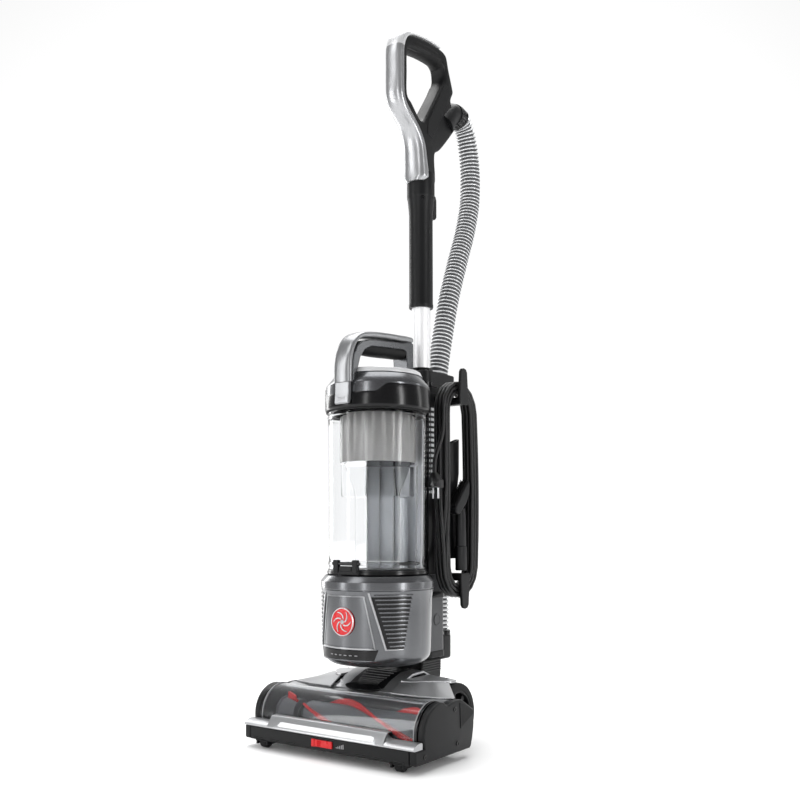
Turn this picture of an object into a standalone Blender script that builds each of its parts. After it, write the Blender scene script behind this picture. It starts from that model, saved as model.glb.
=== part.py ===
"""Upright vacuum cleaner with a see-through dust cup, a lift-away wand and a wound mains cord.

Metres, +Z up, the cleaner faces -Y. Every part is modelled around the wand's axis line and the
whole model is then moved along Y, so that the origin is under the middle of the cleaner's box.
"""

import math

import bmesh
import bpy
from mathutils import Euler, Matrix, Vector

NAME = "upright_vacuum_cleaner"
MOVE_Y = 0.0035          # moves the finished model so that its box is centred on the origin
GAP = 0.0003             # clearance between neighbouring parts

# Floor head
HEAD_HALF = 0.1565       # half the width over the side caps
CAP_THICK = 0.0127       # thickness of a side cap
HEAD_FRONT = -0.1655
HEAD_UNDER = 0.012       # height of the underside above the floor
BRUSH_Y = -0.106
BRUSH_Z = 0.045
WINDOW_R = 0.041
CHAMBER_R = 0.0375
WHEEL_X = 0.1040          # middle of a rear wheel
WHEEL_Y = 0.006
WHEEL_R = 0.047
PIVOT_Y = 0.050          # recline axis
PIVOT_Z = 0.062

# Upright body
CUP_Y = -0.0435          # axis of the cup and of the motor housing
HOUSING_R = 0.084
HOUSING_TOP = 0.253
CUP_R = 0.0775
CUP_LOW = 0.2625
CUP_HIGH = 0.5025
LID_HIGH = 0.565
TUBE_Y = 0.077           # axis of the telescopic tube and the wand
TUBE_R = 0.0155
WAND_R = 0.0200
WAND_LOW = 0.692
WAND_WIDE_R = 0.0234
WAND_WIDE_LOW = 0.869
WAND_HIGH = 0.925

# Hose and cord
HOSE_R = 0.0185
HOSE_Y = 0.1255          # where the hose runs straight down behind the spine
CORD_R = 0.0034
REEL_X = 0.060           # middle of the wound cord
REEL_Y = 0.088
REEL_TURNS = 3           # turns side by side, and layers on each other
REEL_HALF = 0.0505       # half the width of the winding
REEL_LOW = 0.213
REEL_HIGH = 0.564
REEL_BOW = 0.008         # how far the rear run bows outwards
HOOK_ROOM = 0.0068       # from a hook's arm to the cord that lies round it


# Scene and materials

def clear_scene():
    for old in list(bpy.data.objects):
        bpy.data.objects.remove(old)


def new_collection(name, parent):
    collection = bpy.data.collections.new(name)
    parent.children.link(collection)
    return collection


def material(name, colour, roughness, metallic=0.0):
    made = bpy.data.materials.new(name)
    made.use_nodes = True
    shader = made.node_tree.nodes["Principled BSDF"]
    shader.inputs["Base Color"].default_value = (*colour, 1.0)
    shader.inputs["Roughness"].default_value = roughness
    shader.inputs["Metallic"].default_value = metallic
    return made


FINISHES = {
    "black": ((0.012, 0.012, 0.014), 0.45, 0.0),
    "dark": ((0.03, 0.03, 0.035), 0.5, 0.0),
    "rubber": ((0.015, 0.015, 0.015), 0.8, 0.0),
    "gunmetal": ((0.13, 0.135, 0.145), 0.35, 0.6),
    "silver": ((0.42, 0.43, 0.44), 0.3, 0.7),
    "grey": ((0.2, 0.2, 0.21), 0.45, 0.2),
    "red": ((0.6, 0.02, 0.03), 0.35, 0.0),
    "white": ((0.85, 0.86, 0.86), 0.3, 0.0),
    "clear": ((0.8, 0.82, 0.84), 0.1, 0.0),
    "steel": ((0.55, 0.55, 0.56), 0.3, 1.0),
    "foam": ((0.1, 0.1, 0.11), 0.95, 0.0),
}


def finish(part, kind):
    colour, roughness, metallic = FINISHES[kind]
    part.data.materials.clear()
    part.data.materials.append(material(part.name, colour, roughness, metallic))
    return part


def anchor(name, place, parent=None):
    empty = bpy.data.objects.new(name, None)
    empty.empty_display_size = 0.03
    empty.location = place
    PARTS.objects.link(empty)
    bpy.context.view_layer.update()
    if parent:
        attach(empty, parent)
    return empty


def attach(part, parent):
    bpy.context.view_layer.update()
    part.parent = parent
    part.matrix_parent_inverse = parent.matrix_world.inverted()
    bpy.context.view_layer.update()
    return part


# Shapes

def mesh_part(name, mesh, kind, parent, matrix=None):
    part = bpy.data.objects.new(name, mesh)
    mesh.name = name
    if matrix is not None:
        part.matrix_world = matrix
    PARTS.objects.link(part)
    mesh.shade_smooth()
    mesh.set_sharp_from_angle(angle=math.radians(35))
    finish(part, kind)
    return attach(part, parent)


def bmesh_part(name, bm, kind, parent, matrix=None):
    mesh = bpy.data.meshes.new(name)
    bmesh.ops.recalc_face_normals(bm, faces=bm.faces)
    bm.to_mesh(mesh)
    bm.free()
    return mesh_part(name, mesh, kind, parent, matrix)


def solid_from_curve(curve_object):
    """The mesh of a curve with its caps welded on, and the curve's place."""
    bpy.context.view_layer.update()
    graph = bpy.context.evaluated_depsgraph_get()
    mesh = bpy.data.meshes.new_from_object(curve_object.evaluated_get(graph))
    matrix = curve_object.matrix_world.copy()
    bm = bmesh.new()
    bm.from_mesh(mesh)
    bmesh.ops.remove_doubles(bm, verts=bm.verts, dist=0.00001)
    bmesh.ops.recalc_face_normals(bm, faces=bm.faces)
    bm.to_mesh(mesh)
    bm.free()
    curve = curve_object.data
    bpy.data.objects.remove(curve_object)
    bpy.data.curves.remove(curve)
    return mesh, matrix


TURN = {
    "x": Euler((math.pi / 2, 0, math.pi / 2)),
    "y": Euler((math.pi / 2, 0, 0)),
    "z": Euler((0, 0, 0)),
}
SHIFT = {"x": Vector((1, 0, 0)), "y": Vector((0, 1, 0)), "z": Vector((0, 0, 1))}


def prism(name, along, low, high, outlines, kind, parent, bevel=0.0):
    """A flat outline, with holes after the first loop, extruded along an axis.

    Along x the outline holds (y, z), along y it holds (x, z) and along z it holds (x, y).
    """
    curve = bpy.data.curves.new(name, "CURVE")
    curve.dimensions = "2D"
    curve.fill_mode = "BOTH"
    curve.extrude = (high - low) / 2
    for outline in outlines:
        spline = curve.splines.new("POLY")
        spline.points.add(len(outline) - 1)
        for point, (u, v) in zip(spline.points, outline):
            point.co = (u, v, 0, 1)
        spline.use_cyclic_u = True
    shape = bpy.data.objects.new(name, curve)
    shape.rotation_euler = TURN[along]
    shape.location = SHIFT[along] * (low + high) / 2
    PARTS.objects.link(shape)
    mesh, matrix = solid_from_curve(shape)
    part = mesh_part(name, mesh, kind, parent, matrix)
    if bevel:
        round_edges(part, bevel)
    return part


def round_edges(part, width, segments=1, angle=40):
    edge = part.modifiers.new("edges", "BEVEL")
    edge.width = width
    edge.segments = segments
    edge.limit_method = "ANGLE"
    edge.angle_limit = math.radians(angle)
    return part


def block(name, low, high, kind, parent, bevel=0.0):
    bm = bmesh.new()
    bmesh.ops.create_cube(bm, size=1.0)
    size = Vector(high) - Vector(low)
    bmesh.ops.scale(bm, vec=size, verts=bm.verts)
    middle = (Vector(high) + Vector(low)) / 2
    part = bmesh_part(name, bm, kind, parent, Matrix.Translation(middle))
    if bevel:
        round_edges(part, bevel)
    return part


def rod(name, start, end, radius, kind, parent, end_radius=None, sides=24):
    start, end = Vector(start), Vector(end)
    bm = bmesh.new()
    bmesh.ops.create_cone(
        bm, cap_ends=True, segments=sides, radius1=radius,
        radius2=radius if end_radius is None else end_radius, depth=(end - start).length,
    )
    turn = (end - start).to_track_quat("Z", "Y").to_matrix().to_4x4()
    return bmesh_part(name, bm, kind, parent, Matrix.Translation((start + end) / 2) @ turn)


def turned(name, profile, place, kind, parent, along="z", steps=32, ring=False):
    """A profile of (radius, height), running down its outer side, turned about an axis."""
    bm = bmesh.new()
    points = [bm.verts.new((radius, 0, height)) for radius, height in profile]
    for first, second in zip(points, points[1:]):
        bm.edges.new((first, second))
    if ring:
        bm.edges.new((points[-1], points[0]))
    mesh = bpy.data.meshes.new(name)
    bm.to_mesh(mesh)
    bm.free()
    turn = {"z": Matrix(), "x": Matrix.Rotation(math.pi / 2, 4, "Y")}[along]
    part = bpy.data.objects.new(name, mesh)
    part.matrix_world = Matrix.Translation(place) @ turn
    PARTS.objects.link(part)
    screw = part.modifiers.new("turn", "SCREW")
    screw.steps = steps
    screw.render_steps = steps
    screw.use_merge_vertices = True
    screw.merge_threshold = 0.00001
    screw.use_smooth_shade = True
    finish(part, kind)
    return attach(part, parent)


def pipe(name, route, radius, kind, parent, resolution=2, wall=0.0):
    """A round bar along a route, or a pipe with open ends where a wall is given."""
    curve = bpy.data.curves.new(name, "CURVE")
    curve.dimensions = "3D"
    curve.bevel_depth = radius
    curve.bevel_resolution = resolution
    curve.use_fill_caps = not wall
    curve.render_resolution_u = 0
    spline = curve.splines.new("POLY")
    spline.points.add(len(route) - 1)
    for point, place in zip(spline.points, route):
        point.co = (*place, 1)
    shape = bpy.data.objects.new(name, curve)
    PARTS.objects.link(shape)
    mesh, matrix = solid_from_curve(shape)
    part = mesh_part(name, mesh, kind, parent, matrix)
    if wall:
        shell = part.modifiers.new("wall", "SOLIDIFY")
        shell.thickness = wall
        shell.offset = -1
    return part


def cut(part, cutter):
    return combine(part, cutter, "DIFFERENCE")


def join(part, added):
    return combine(part, added, "UNION")


def combine(part, other, operation):
    PARTS.objects.unlink(other)
    CUTTERS.objects.link(other)
    other.hide_render = True
    other.display_type = "WIRE"
    step = part.modifiers.new(other.name, "BOOLEAN")
    step.operation = operation
    step.object = other
    return part


def arc(middle, radius, start, end, count):
    """Points on a circle, from one angle to another in degrees."""
    points = []
    for index in range(count + 1):
        angle = math.radians(start + (end - start) * index / count)
        u = middle[0] + radius * math.cos(angle)
        v = middle[1] + radius * math.sin(angle)
        points.append((u, v))
    return points


def circle(middle, radius, count=24):
    return arc(middle, radius, 0, 360, count)[:-1]


def rectangle(low_u, low_v, high_u, high_v, corner=0.0, count=3):
    if not corner:
        return [(low_u, low_v), (high_u, low_v), (high_u, high_v), (low_u, high_v)]
    points = []
    corners = (
        (high_u - corner, low_v + corner, -90),
        (high_u - corner, high_v - corner, 0),
        (low_u + corner, high_v - corner, 90),
        (low_u + corner, low_v + corner, 180),
    )
    for u, v, start in corners:
        points += arc((u, v), corner, start, start + 90, count)
    return points


def racetrack(half, low, high, middle, count=10):
    """An upright outline with round ends, as (y, z)."""
    top = arc((middle, high - half), half, 0, 180, count)
    return top + arc((middle, low + half), half, 180, 360, count)


def bowed(outline):
    """A racetrack whose rear run swells outwards halfway up."""
    fine = []
    for a, b in zip(outline, outline[1:] + outline[:1]):
        steps = 8 if abs(a[1] - b[1]) > 0.1 else 1
        fine += [(a[0] + (b[0] - a[0]) * k / steps, a[1] + (b[1] - a[1]) * k / steps) for k in range(steps)]
    out = []
    for y, z in fine:
        height = (z - REEL_LOW) / (REEL_HIGH - REEL_LOW)
        out.append((y + REEL_BOW * max(0.0, (y - REEL_Y) / REEL_HALF) * math.sin(math.pi * height), z))
    return out


def smooth_route(points, spacing):
    """Evenly spaced points on a smooth curve through the given ones."""
    knots = [Vector(point) for point in points]
    knots = [2 * knots[0] - knots[1]] + knots + [2 * knots[-1] - knots[-2]]
    fine = []
    for a, b, c, d in zip(knots, knots[1:], knots[2:], knots[3:]):
        for index in range(20):
            t = index / 20
            fine.append(0.5 * (
                2 * b + (c - a) * t + (2 * a - 5 * b + 4 * c - d) * t ** 2
                + (3 * b - a - 3 * c + d) * t ** 3
            ))
    fine.append(knots[-2])
    lengths = [0.0]
    for first, second in zip(fine, fine[1:]):
        lengths.append(lengths[-1] + (second - first).length)
    count = max(2, round(lengths[-1] / spacing))
    route = []
    index = 0
    for step in range(count + 1):
        target = lengths[-1] * step / count
        while index < len(fine) - 2 and lengths[index + 1] < target:
            index += 1
        share = (target - lengths[index]) / (lengths[index + 1] - lengths[index])
        route.append(fine[index].lerp(fine[index + 1], min(1.0, share)))
    return route


# Floor head

BELT_X = (-0.090, -0.080)      # the belt's edges along the brush roll
MOTOR_AXIS = (-0.046, 0.052)   # brush motor, as (y, z)
ROLL_PULLEY_R = 0.0125
MOTOR_PULLEY_R = 0.0075


def make_chassis(body):
    inner = HEAD_HALF - CAP_THICK - GAP
    outline = [
        (HEAD_FRONT, HEAD_UNDER), (HEAD_FRONT, 0.0305), (-0.1455, 0.0305), (-0.080, 0.0735),
        (-0.0625, 0.0735), (-0.0625, 0.030), (0.068, 0.030), (0.074, 0.024),
        (0.074, 0.016), (0.070, HEAD_UNDER),
    ]
    chassis = prism("chassis", "x", -inner, inner, [outline], "black", body)
    cut(chassis, rod("brush_chamber", (-0.134, BRUSH_Y, BRUSH_Z), (0.134, BRUSH_Y, BRUSH_Z),
                     CHAMBER_R, "black", body, sides=32))
    cut(chassis, block("belt_slot", (-0.0935, -0.078, 0.0315), (-0.0765, -0.058, 0.068), "black", body))
    cut(chassis, rod("duct_mouth", (0, -0.080, 0.050), (0, -0.055, 0.050), 0.0155, "black", body))
    for side in (-1, 1):
        well = sorted((side * 0.0900, side * 0.160))
        cut(chassis, block("wheel_well", (well[0], -0.0440, 0), (well[1], 0.090, 0.080), "black", body))
        foot = sorted((side * 0.1140, side * 0.1320))
        cut(chassis, block("roller_well", (foot[0], -0.1625, 0), (foot[1], -0.1450, 0.0185), "black", body))
        rear = sorted((side * 0.060, side * 0.110))
        cut(chassis, block("rear_notch", (rear[0], 0.0290, 0), (rear[1], 0.090, 0.060), "black", body))
        boss = sorted((side * 0.0770, side * 0.0890))
        outline = [(WHEEL_Y - 0.020, 0.028), (WHEEL_Y + 0.020, 0.028)]
        outline += arc((WHEEL_Y, WHEEL_R), 0.012, 0, 180, 6)
        join(chassis, prism("axle_boss", "x", boss[0], boss[1], [outline], "black", body))
        cut(chassis, rod("axle_hole", (boss[0] - 0.005, WHEEL_Y, WHEEL_R), (boss[1] + 0.002, WHEEL_Y, WHEEL_R),
                         0.0043, "black", body, sides=12))
        cheek = sorted((side * 0.0440, side * 0.0560))
        outline = [(PIVOT_Y - 0.022, 0.028), (PIVOT_Y + 0.022, 0.028)]
        outline += arc((PIVOT_Y, PIVOT_Z), 0.016, 0, 180, 8)
        join(chassis, prism("pivot_cheek", "x", cheek[0], cheek[1], [outline], "black", body))
        hole = sorted((side * 0.0400, side * 0.0600))
        cut(chassis, rod("pivot_hole", (hole[0], PIVOT_Y, PIVOT_Z), (hole[1], PIVOT_Y, PIVOT_Z),
                         0.0083, "black", body))
    return chassis


def side_cap_outline():
    """The head's end view: a flat front, two arches with a notch between, and a leaning back."""
    front = [(-0.1640, HEAD_UNDER), (HEAD_FRONT - 0.0005, 0.018), (HEAD_FRONT - 0.0005, 0.0308)]
    arch = arc((BRUSH_Y, BRUSH_Z), WINDOW_R, 200, 71, 11)
    back = [
        (-0.0895, 0.0795), (-0.0800, 0.0818), (-0.0560, 0.0831), (-0.0490, 0.0822),
        (-0.0175, 0.0640), (-0.0190, 0.0400), (-0.0260, 0.0150), (-0.0300, HEAD_UNDER),
    ]
    return front + arch + back


def make_head(body):
    make_chassis(body)
    inner = HEAD_HALF - CAP_THICK
    slots = [rectangle(x, -0.1200, x + 0.044, -0.0900) for x in (-0.124, -0.074, -0.024, 0.026, 0.076)]
    outline = [rectangle(-0.130, -0.1440, 0.130, -0.0600)] + slots
    prism("sole_plate", "z", HEAD_UNDER - 0.0025, HEAD_UNDER - GAP, outline, "steel", body)
    outside = arc((BRUSH_Y, BRUSH_Z), WINDOW_R, 69, 195, 16)
    inside = arc((BRUSH_Y, BRUSH_Z), WINDOW_R - 0.002, 195, 69, 16)
    window = [outside + inside]
    prism("brush_window", "x", -inner + 2 * GAP, inner - 2 * GAP, window, "clear", body)
    for side, name in ((-1, "side_cap_left"), (1, "side_cap_right")):
        low, high = sorted((side * inner, side * HEAD_HALF))
        prism(name, "x", low, high, [side_cap_outline()], "black", body, bevel=0.0008)
    make_bumper(body)
    make_cover(body, inner - 2 * GAP)
    make_brush(body)
    make_wheels(body)


def make_bumper(body):
    outline = [
        (-0.152, 0.0312), (0.152, 0.0312), (0.152, 0.0385), (0.108, 0.0400), (0.088, 0.0490),
        (-0.088, 0.0490), (-0.108, 0.0400), (-0.152, 0.0385),
    ]
    bumper = prism("front_bumper", "y", -0.1700, -0.1476, [outline], "silver", body)
    slope = [(-0.1720, 0.0335), (-0.1600, 0.0455), (-0.1600, 0.060), (-0.1720, 0.060)]
    cut(bumper, prism("bumper_slope", "x", -0.160, 0.160, [slope], "silver", body))
    recess = rectangle(-0.097, 0.0300, 0.095, 0.0338)
    cut(bumper, prism("lens_recess", "y", -0.175, -0.1640, [recess], "silver", body))
    lens = rectangle(-0.0965, 0.0313, 0.0945, 0.0335)
    prism("light_lens", "y", -0.1697, -0.1643, [lens], "white", body)


def make_cover(body, inner):
    top = [(-0.0885, 0.0790), (-0.0740, 0.0815), (-0.0560, 0.0828), (-0.0310, 0.0795), (-0.0250, 0.0705)]
    under = [(-0.0275, 0.0700), (-0.0325, 0.0770), (-0.0560, 0.0800), (-0.0740, 0.0790), (-0.0870, 0.0765)]
    cover = prism("head_cover", "x", -inner, inner, [top + under], "gunmetal", body)
    for side in (-1, 1):
        well = sorted((side * 0.0900, side * 0.160))
        cut(cover, block("cover_well", (well[0], -0.0440, 0.030), (well[1], 0.020, 0.090), "gunmetal", body))
    hump = [
        (-0.0800, 0.0835), (-0.0560, 0.0965), (-0.0300, 0.1060), (0.0000, 0.1080), (0.0180, 0.1000),
        (0.0180, 0.0970), (0.0000, 0.1045), (-0.0290, 0.1025), (-0.0550, 0.0935), (-0.0735, 0.0840),
    ]
    prism("duct_cover", "x", -0.058, 0.058, [hump], "black", body)
    for side, name in ((-1, "cover_wing_left"), (1, "cover_wing_right")):
        outline = [
            (side * 0.0590, -0.0560), (side * 0.0720, -0.0540), (side * 0.0920, -0.0280),
            (side * 0.1100, -0.0040), (side * 0.1100, 0.0080), (side * 0.0950, 0.0100),
            (side * 0.0590, 0.0100),
        ]
        prism(name, "z", 0.0965, 0.1000, [outline], "silver", body)


def make_brush(body):
    roll = anchor("brush_roll_axis", (0, BRUSH_Y, BRUSH_Z), body)
    around = 20
    half = 0.126
    groove = (BELT_X[0] - 0.0035, BELT_X[1] + 0.0035)
    step_in = 0.001
    left = [-half + (groove[0] - step_in + half) * index / 4 for index in range(5)]
    right = [groove[1] + step_in + (half - groove[1] - step_in) * index / 28 for index in range(29)]
    bm = bmesh.new()
    loops = []
    for x in left + list(groove) + right:
        in_belt = groove[0] <= x <= groove[1]
        at_end = abs(x) == half
        loop = []
        for step in range(around):
            angle = 2 * math.pi * step / around
            lobe = max(0.0, math.cos(2 * (angle - 9.0 * x)) - 0.55) / 0.45
            radius = 0.0225 + 0.0105 * lobe
            if in_belt:
                radius = ROLL_PULLEY_R
            if at_end:
                radius = 0.0225
            loop.append(bm.verts.new((x, radius * math.cos(angle), radius * math.sin(angle))))
        loops.append(loop)
    for first, second in zip(loops, loops[1:]):
        for step in range(around):
            after = (step + 1) % around
            bm.faces.new((first[step], first[after], second[after], second[step]))
    bm.faces.new(loops[0])
    bm.faces.new(loops[-1])
    bmesh_part("brush_roll", bm, "red", roll, Matrix.Translation((0, BRUSH_Y, BRUSH_Z)))
    rod("brush_motor", (-0.0740, *MOTOR_AXIS), (-0.0240, *MOTOR_AXIS), 0.0165, "steel", body)
    pulley = anchor("motor_pulley_axis", (-0.085, *MOTOR_AXIS), body)
    rod("motor_pulley", (-0.0925, *MOTOR_AXIS), (-0.0745, *MOTOR_AXIS), MOTOR_PULLEY_R,
        "steel", pulley, sides=16)
    make_belt(body)


def belt_loop(clearance):
    """The outline of a belt around both pulleys, at a distance from them."""
    big = ROLL_PULLEY_R + clearance
    small = MOTOR_PULLEY_R + clearance
    along = Vector((MOTOR_AXIS[0] - BRUSH_Y, MOTOR_AXIS[1] - BRUSH_Z))
    heading = math.degrees(math.atan2(along.y, along.x))
    lean = math.degrees(math.acos((big - small) / along.length))
    loop = arc((BRUSH_Y, BRUSH_Z), big, heading + lean, heading + 360 - lean, 12)
    return loop + arc(MOTOR_AXIS, small, heading - lean, heading + lean, 6)


def make_belt(body):
    loops = [belt_loop(0.0017), belt_loop(0.0006)[::-1]]
    prism("drive_belt", "x", *BELT_X, loops, "rubber", body)


def make_wheels(body):
    turned_duct = [(0.0180, 0.0240), (0.0180, -0.0240), (0.0155, -0.0240), (0.0155, 0.0240)]
    duct = turned("suction_duct", turned_duct, (0, -0.0378, 0.0490), "black", body, ring=True, steps=20)
    duct.rotation_euler = (math.pi / 2, 0, 0)
    rod("wheel_axle", (-0.1170, WHEEL_Y, WHEEL_R), (0.1170, WHEEL_Y, WHEEL_R), 0.0040, "steel", body, sides=12)
    tyre = [
        (0.0045, -0.0105), (0.0300, -0.0105), (0.0320, -0.0085), (0.0370, -0.0085), (0.0390, -0.0105),
        (0.0450, -0.0105), (WHEEL_R, -0.0070), (WHEEL_R, 0.0070), (0.0450, 0.0105), (0.0045, 0.0105),
    ]
    for side, name in ((-1, "rear_wheel_left"), (1, "rear_wheel_right")):
        place = (side * WHEEL_X, WHEEL_Y, WHEEL_R)
        axis = anchor(name + "_axis", place, body)
        profile = [(radius, side * height) for radius, height in tyre]
        if side > 0:
            profile = profile[::-1]
        turned(name, profile, place, "black", axis, along="x", steps=32, ring=True)
    for side, name in ((-1, "front_roller_left"), (1, "front_roller_right")):
        place = (side * 0.1230, -0.1540, 0.0080)
        axis = anchor(name + "_axis", place, body)
        low, high = sorted((side * 0.1160, side * 0.1300))
        rod(name, (low, *place[1:]), (high, *place[1:]), 0.0080, "rubber", axis, sides=16)
    slider = anchor("debris_slider_axis", (-0.004, HEAD_FRONT, 0.0215), body)
    block("debris_slider", (-0.0230, HEAD_FRONT - 0.0032, 0.0165), (0.0150, HEAD_FRONT - GAP, 0.0270),
          "red", slider, bevel=0.001)
    pedal = anchor("release_pedal_axis", (-0.0660, 0.0400, 0.0440), body)
    outline = arc((0.0400, 0.0440), 0.0060, 90, 270, 6)
    outline += [(0.0640, 0.0385), (0.0780, 0.0430), (0.0780, 0.0480), (0.0640, 0.0480)]
    prism("release_pedal", "x", -0.0760, -0.0580, [outline], "dark", pedal, bevel=0.0008)


# Upright body

def make_neck(body):
    outline = arc((PIVOT_Y, PIVOT_Z), 0.026, 165, 360, 12)
    outline += [(0.0780, 0.0720), (0.0880, 0.0880), (0.0900, 0.1180), (0.0360, 0.1180), (0.0300, 0.0960)]
    neck = prism("neck", "x", -0.0300, 0.0300, [outline], "black", body)
    for side in (-1, 1):
        ends = sorted((side * 0.0250, side * 0.0560))
        join(neck, rod("trunnion", (ends[0], PIVOT_Y, PIVOT_Z), (ends[1], PIVOT_Y, PIVOT_Z),
                       0.0078, "black", body))
    outline = rectangle(-0.0330, 0.0450, 0.0330, 0.0985, corner=0.012)
    inside = rectangle(-0.0300, 0.0480, 0.0300, 0.0955, corner=0.010)[::-1]
    prism("lower_duct", "z", 0.1183, 0.2500, [outline, inside], "grey", body)
    wall = 0.003
    front, back, half = 0.0450, 0.1035, 0.0350
    channel = [
        (-half, front), (half, front), (half, back), (half - wall, back), (half - wall, front + wall),
        (-half + wall, front + wall), (-half + wall, back), (-half, back),
    ]
    prism("spine", "z", 0.2503, 0.5440, [channel], "black", body)


def housing_radius(height):
    """Outer radius of the motor housing, which narrows downwards."""
    share = (height - 0.137) / (0.240 - 0.137)
    return 0.0815 + (HOUSING_R - 0.0815) * share


def curved_plate(name, corners, thickness, kind, parent, columns=8, rows=3):
    """A plate on the motor housing; its corners give (left, right) angles at the foot and head."""
    (low_z, low_left, low_right), (high_z, high_left, high_right) = corners
    bm = bmesh.new()
    layers = []
    for out in (GAP, thickness):
        grid = []
        for row in range(rows + 1):
            share = row / rows
            height = low_z + (high_z - low_z) * share
            left = low_left + (high_left - low_left) * share
            right = low_right + (high_right - low_right) * share
            radius = housing_radius(height) + out
            line = []
            for column in range(columns + 1):
                angle = math.radians(left + (right - left) * column / columns)
                line.append(bm.verts.new((radius * math.cos(angle), radius * math.sin(angle), height)))
            grid.append(line)
        layers.append(grid)
    for grid in layers:
        for row in range(rows):
            for column in range(columns):
                bm.faces.new((grid[row][column], grid[row][column + 1],
                              grid[row + 1][column + 1], grid[row + 1][column]))
    edge = [(0, column) for column in range(columns)]
    edge += [(row, columns) for row in range(rows)]
    edge += [(rows, column) for column in range(columns, 0, -1)]
    edge += [(row, 0) for row in range(rows, 0, -1)]
    inner, outer = layers
    for (row, column), (next_row, next_column) in zip(edge, edge[1:] + edge[:1]):
        bm.faces.new((inner[row][column], inner[next_row][next_column],
                      outer[next_row][next_column], outer[row][column]))
    return bmesh_part(name, bm, kind, parent, Matrix.Translation((0, CUP_Y, 0)))


def make_housing(body):
    inside = [(0.0000, 0.1220), (0.0560, 0.1240), (0.0740, 0.1300), (0.0785, 0.1380), (0.0810, 0.2400),
              (0.0830, HOUSING_TOP)]
    outside = [(0.0860, HOUSING_TOP), (0.0865, 0.2440), (HOUSING_R, 0.2400), (0.0815, 0.1370),
               (0.0760, 0.1270), (0.0580, 0.1210), (0.0000, 0.1190)]
    turned("motor_housing", inside + outside, (0, CUP_Y, 0), "gunmetal", body, steps=36)
    curved_plate("exhaust_grille", ((0.145, -44, -28), (0.236, -61, -17)), 0.0022, "black", body)
    motor = [(0.0000, 0.2150), (0.0520, 0.2150), (0.0520, 0.1900), (0.0440, 0.1880), (0.0440, 0.1420),
             (0.0300, 0.1360), (0.0000, 0.1360)]
    turned("suction_motor", motor, (0, CUP_Y, 0), "steel", body, steps=24)
    fan = anchor("motor_fan_axis", (0, CUP_Y, 0.223), body)
    blades = [(0.0000, 0.2270), (0.0300, 0.2270), (0.0500, 0.2190), (0.0500, 0.2165), (0.0000, 0.2165)]
    turned("motor_fan", blades, (0, CUP_Y, 0), "dark", fan, steps=24)
    foam = [(0.0000, 0.2500), (0.0790, 0.2500), (0.0790, 0.2290), (0.0000, 0.2290)]
    turned("motor_filter", foam, (0, CUP_Y, 0), "foam", body, steps=24)


def make_tube_and_brackets(body):
    wall = [(TUBE_R, 0.8550), (TUBE_R, 0.4700), (TUBE_R - 0.0012, 0.4700), (TUBE_R - 0.0012, 0.8550)]
    turned("metal_tube", wall, (0, TUBE_Y, 0), "steel", body, ring=True, steps=24)
    outline = rectangle(-0.0270, 0.0520, 0.0270, 0.1480, corner=0.016, count=4)
    tube_hole = circle((0, TUBE_Y), TUBE_R + GAP, 24)[::-1]
    hose_hole = circle((0, HOSE_Y), HOSE_R + 0.0018, 24)[::-1]
    prism("hose_bracket", "z", 0.5443, 0.5850, [outline, tube_hole, hose_hole], "black", body)
    outline = rectangle(-0.0195, 0.0988, 0.0195, 0.1455, corner=0.017, count=4)
    prism("hose_elbow", "z", 0.1100, 0.1500, [outline], "black", body, bevel=0.003)
    switch = anchor("power_switch_axis", (-0.0352, 0.0740, 0.4950), body)
    block("power_switch", (-0.0395, 0.0660, 0.4850), (-0.0353, 0.0820, 0.5050), "red", switch, bevel=0.0008)


def hook(name, arm, fin, place, body):
    """An arm that sticks out to the right, with a fin across its end that holds the cord."""
    part = block(name, arm[0], arm[1], "black", body)
    low, high = fin
    outline = [(place - 0.0120, low), (place + 0.0120, low), (place + 0.0090, high), (place - 0.0090, high)]
    if low > high:
        outline = outline[::-1]
    return join(part, prism(name + "_fin", "x", 0.0712, 0.0765, [outline], "black", body))


def make_hooks(body):
    low = REEL_LOW + 2 * REEL_TURNS * CORD_R + HOOK_ROOM
    hook("cord_hook_lower", ((0.0353, 0.0800, low), (0.0765, 0.1000, low + 0.012)),
         (low + 0.012, 0.1960), 0.090, body)
    high = REEL_HIGH - 2 * REEL_TURNS * CORD_R - HOOK_ROOM
    axis = anchor("cord_hook_upper_axis", (0.0353, 0.090, high - 0.006), body)
    hook("cord_hook_upper", ((0.0353, 0.0800, high - 0.012), (0.0765, 0.1000, high)),
         (high - 0.012, 0.5850), 0.090, axis)


def make_tools(body):
    crevice = anchor("crevice_tool_axis", (0.042, 0.097, 0.27), body)
    outline = [
        (0.0820, 0.2750), (0.1120, 0.2750), (0.1150, 0.4400), (0.1130, 0.4730), (0.1080, 0.4750),
        (0.0830, 0.4620),
    ]
    prism("crevice_tool", "x", 0.0354, 0.0494, [outline], "black", crevice, bevel=0.0015)
    dusting = anchor("dusting_tool_axis", (0.062, 0.098, 0.26), body)
    outline = [
        (0.0870, 0.2560), (0.1120, 0.2560), (0.1120, 0.3500), (0.1165, 0.3950), (0.1130, 0.4050),
        (0.0850, 0.3720), (0.0720, 0.3560), (0.0730, 0.3480), (0.0880, 0.3420),
    ]
    prism("dusting_tool", "x", 0.0535, 0.0705, [outline], "black", dusting, bevel=0.0015)


def make_upright(body):
    make_neck(body)
    make_housing(body)
    make_tube_and_brackets(body)
    make_hooks(body)
    make_tools(body)


# Dust cup

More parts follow.
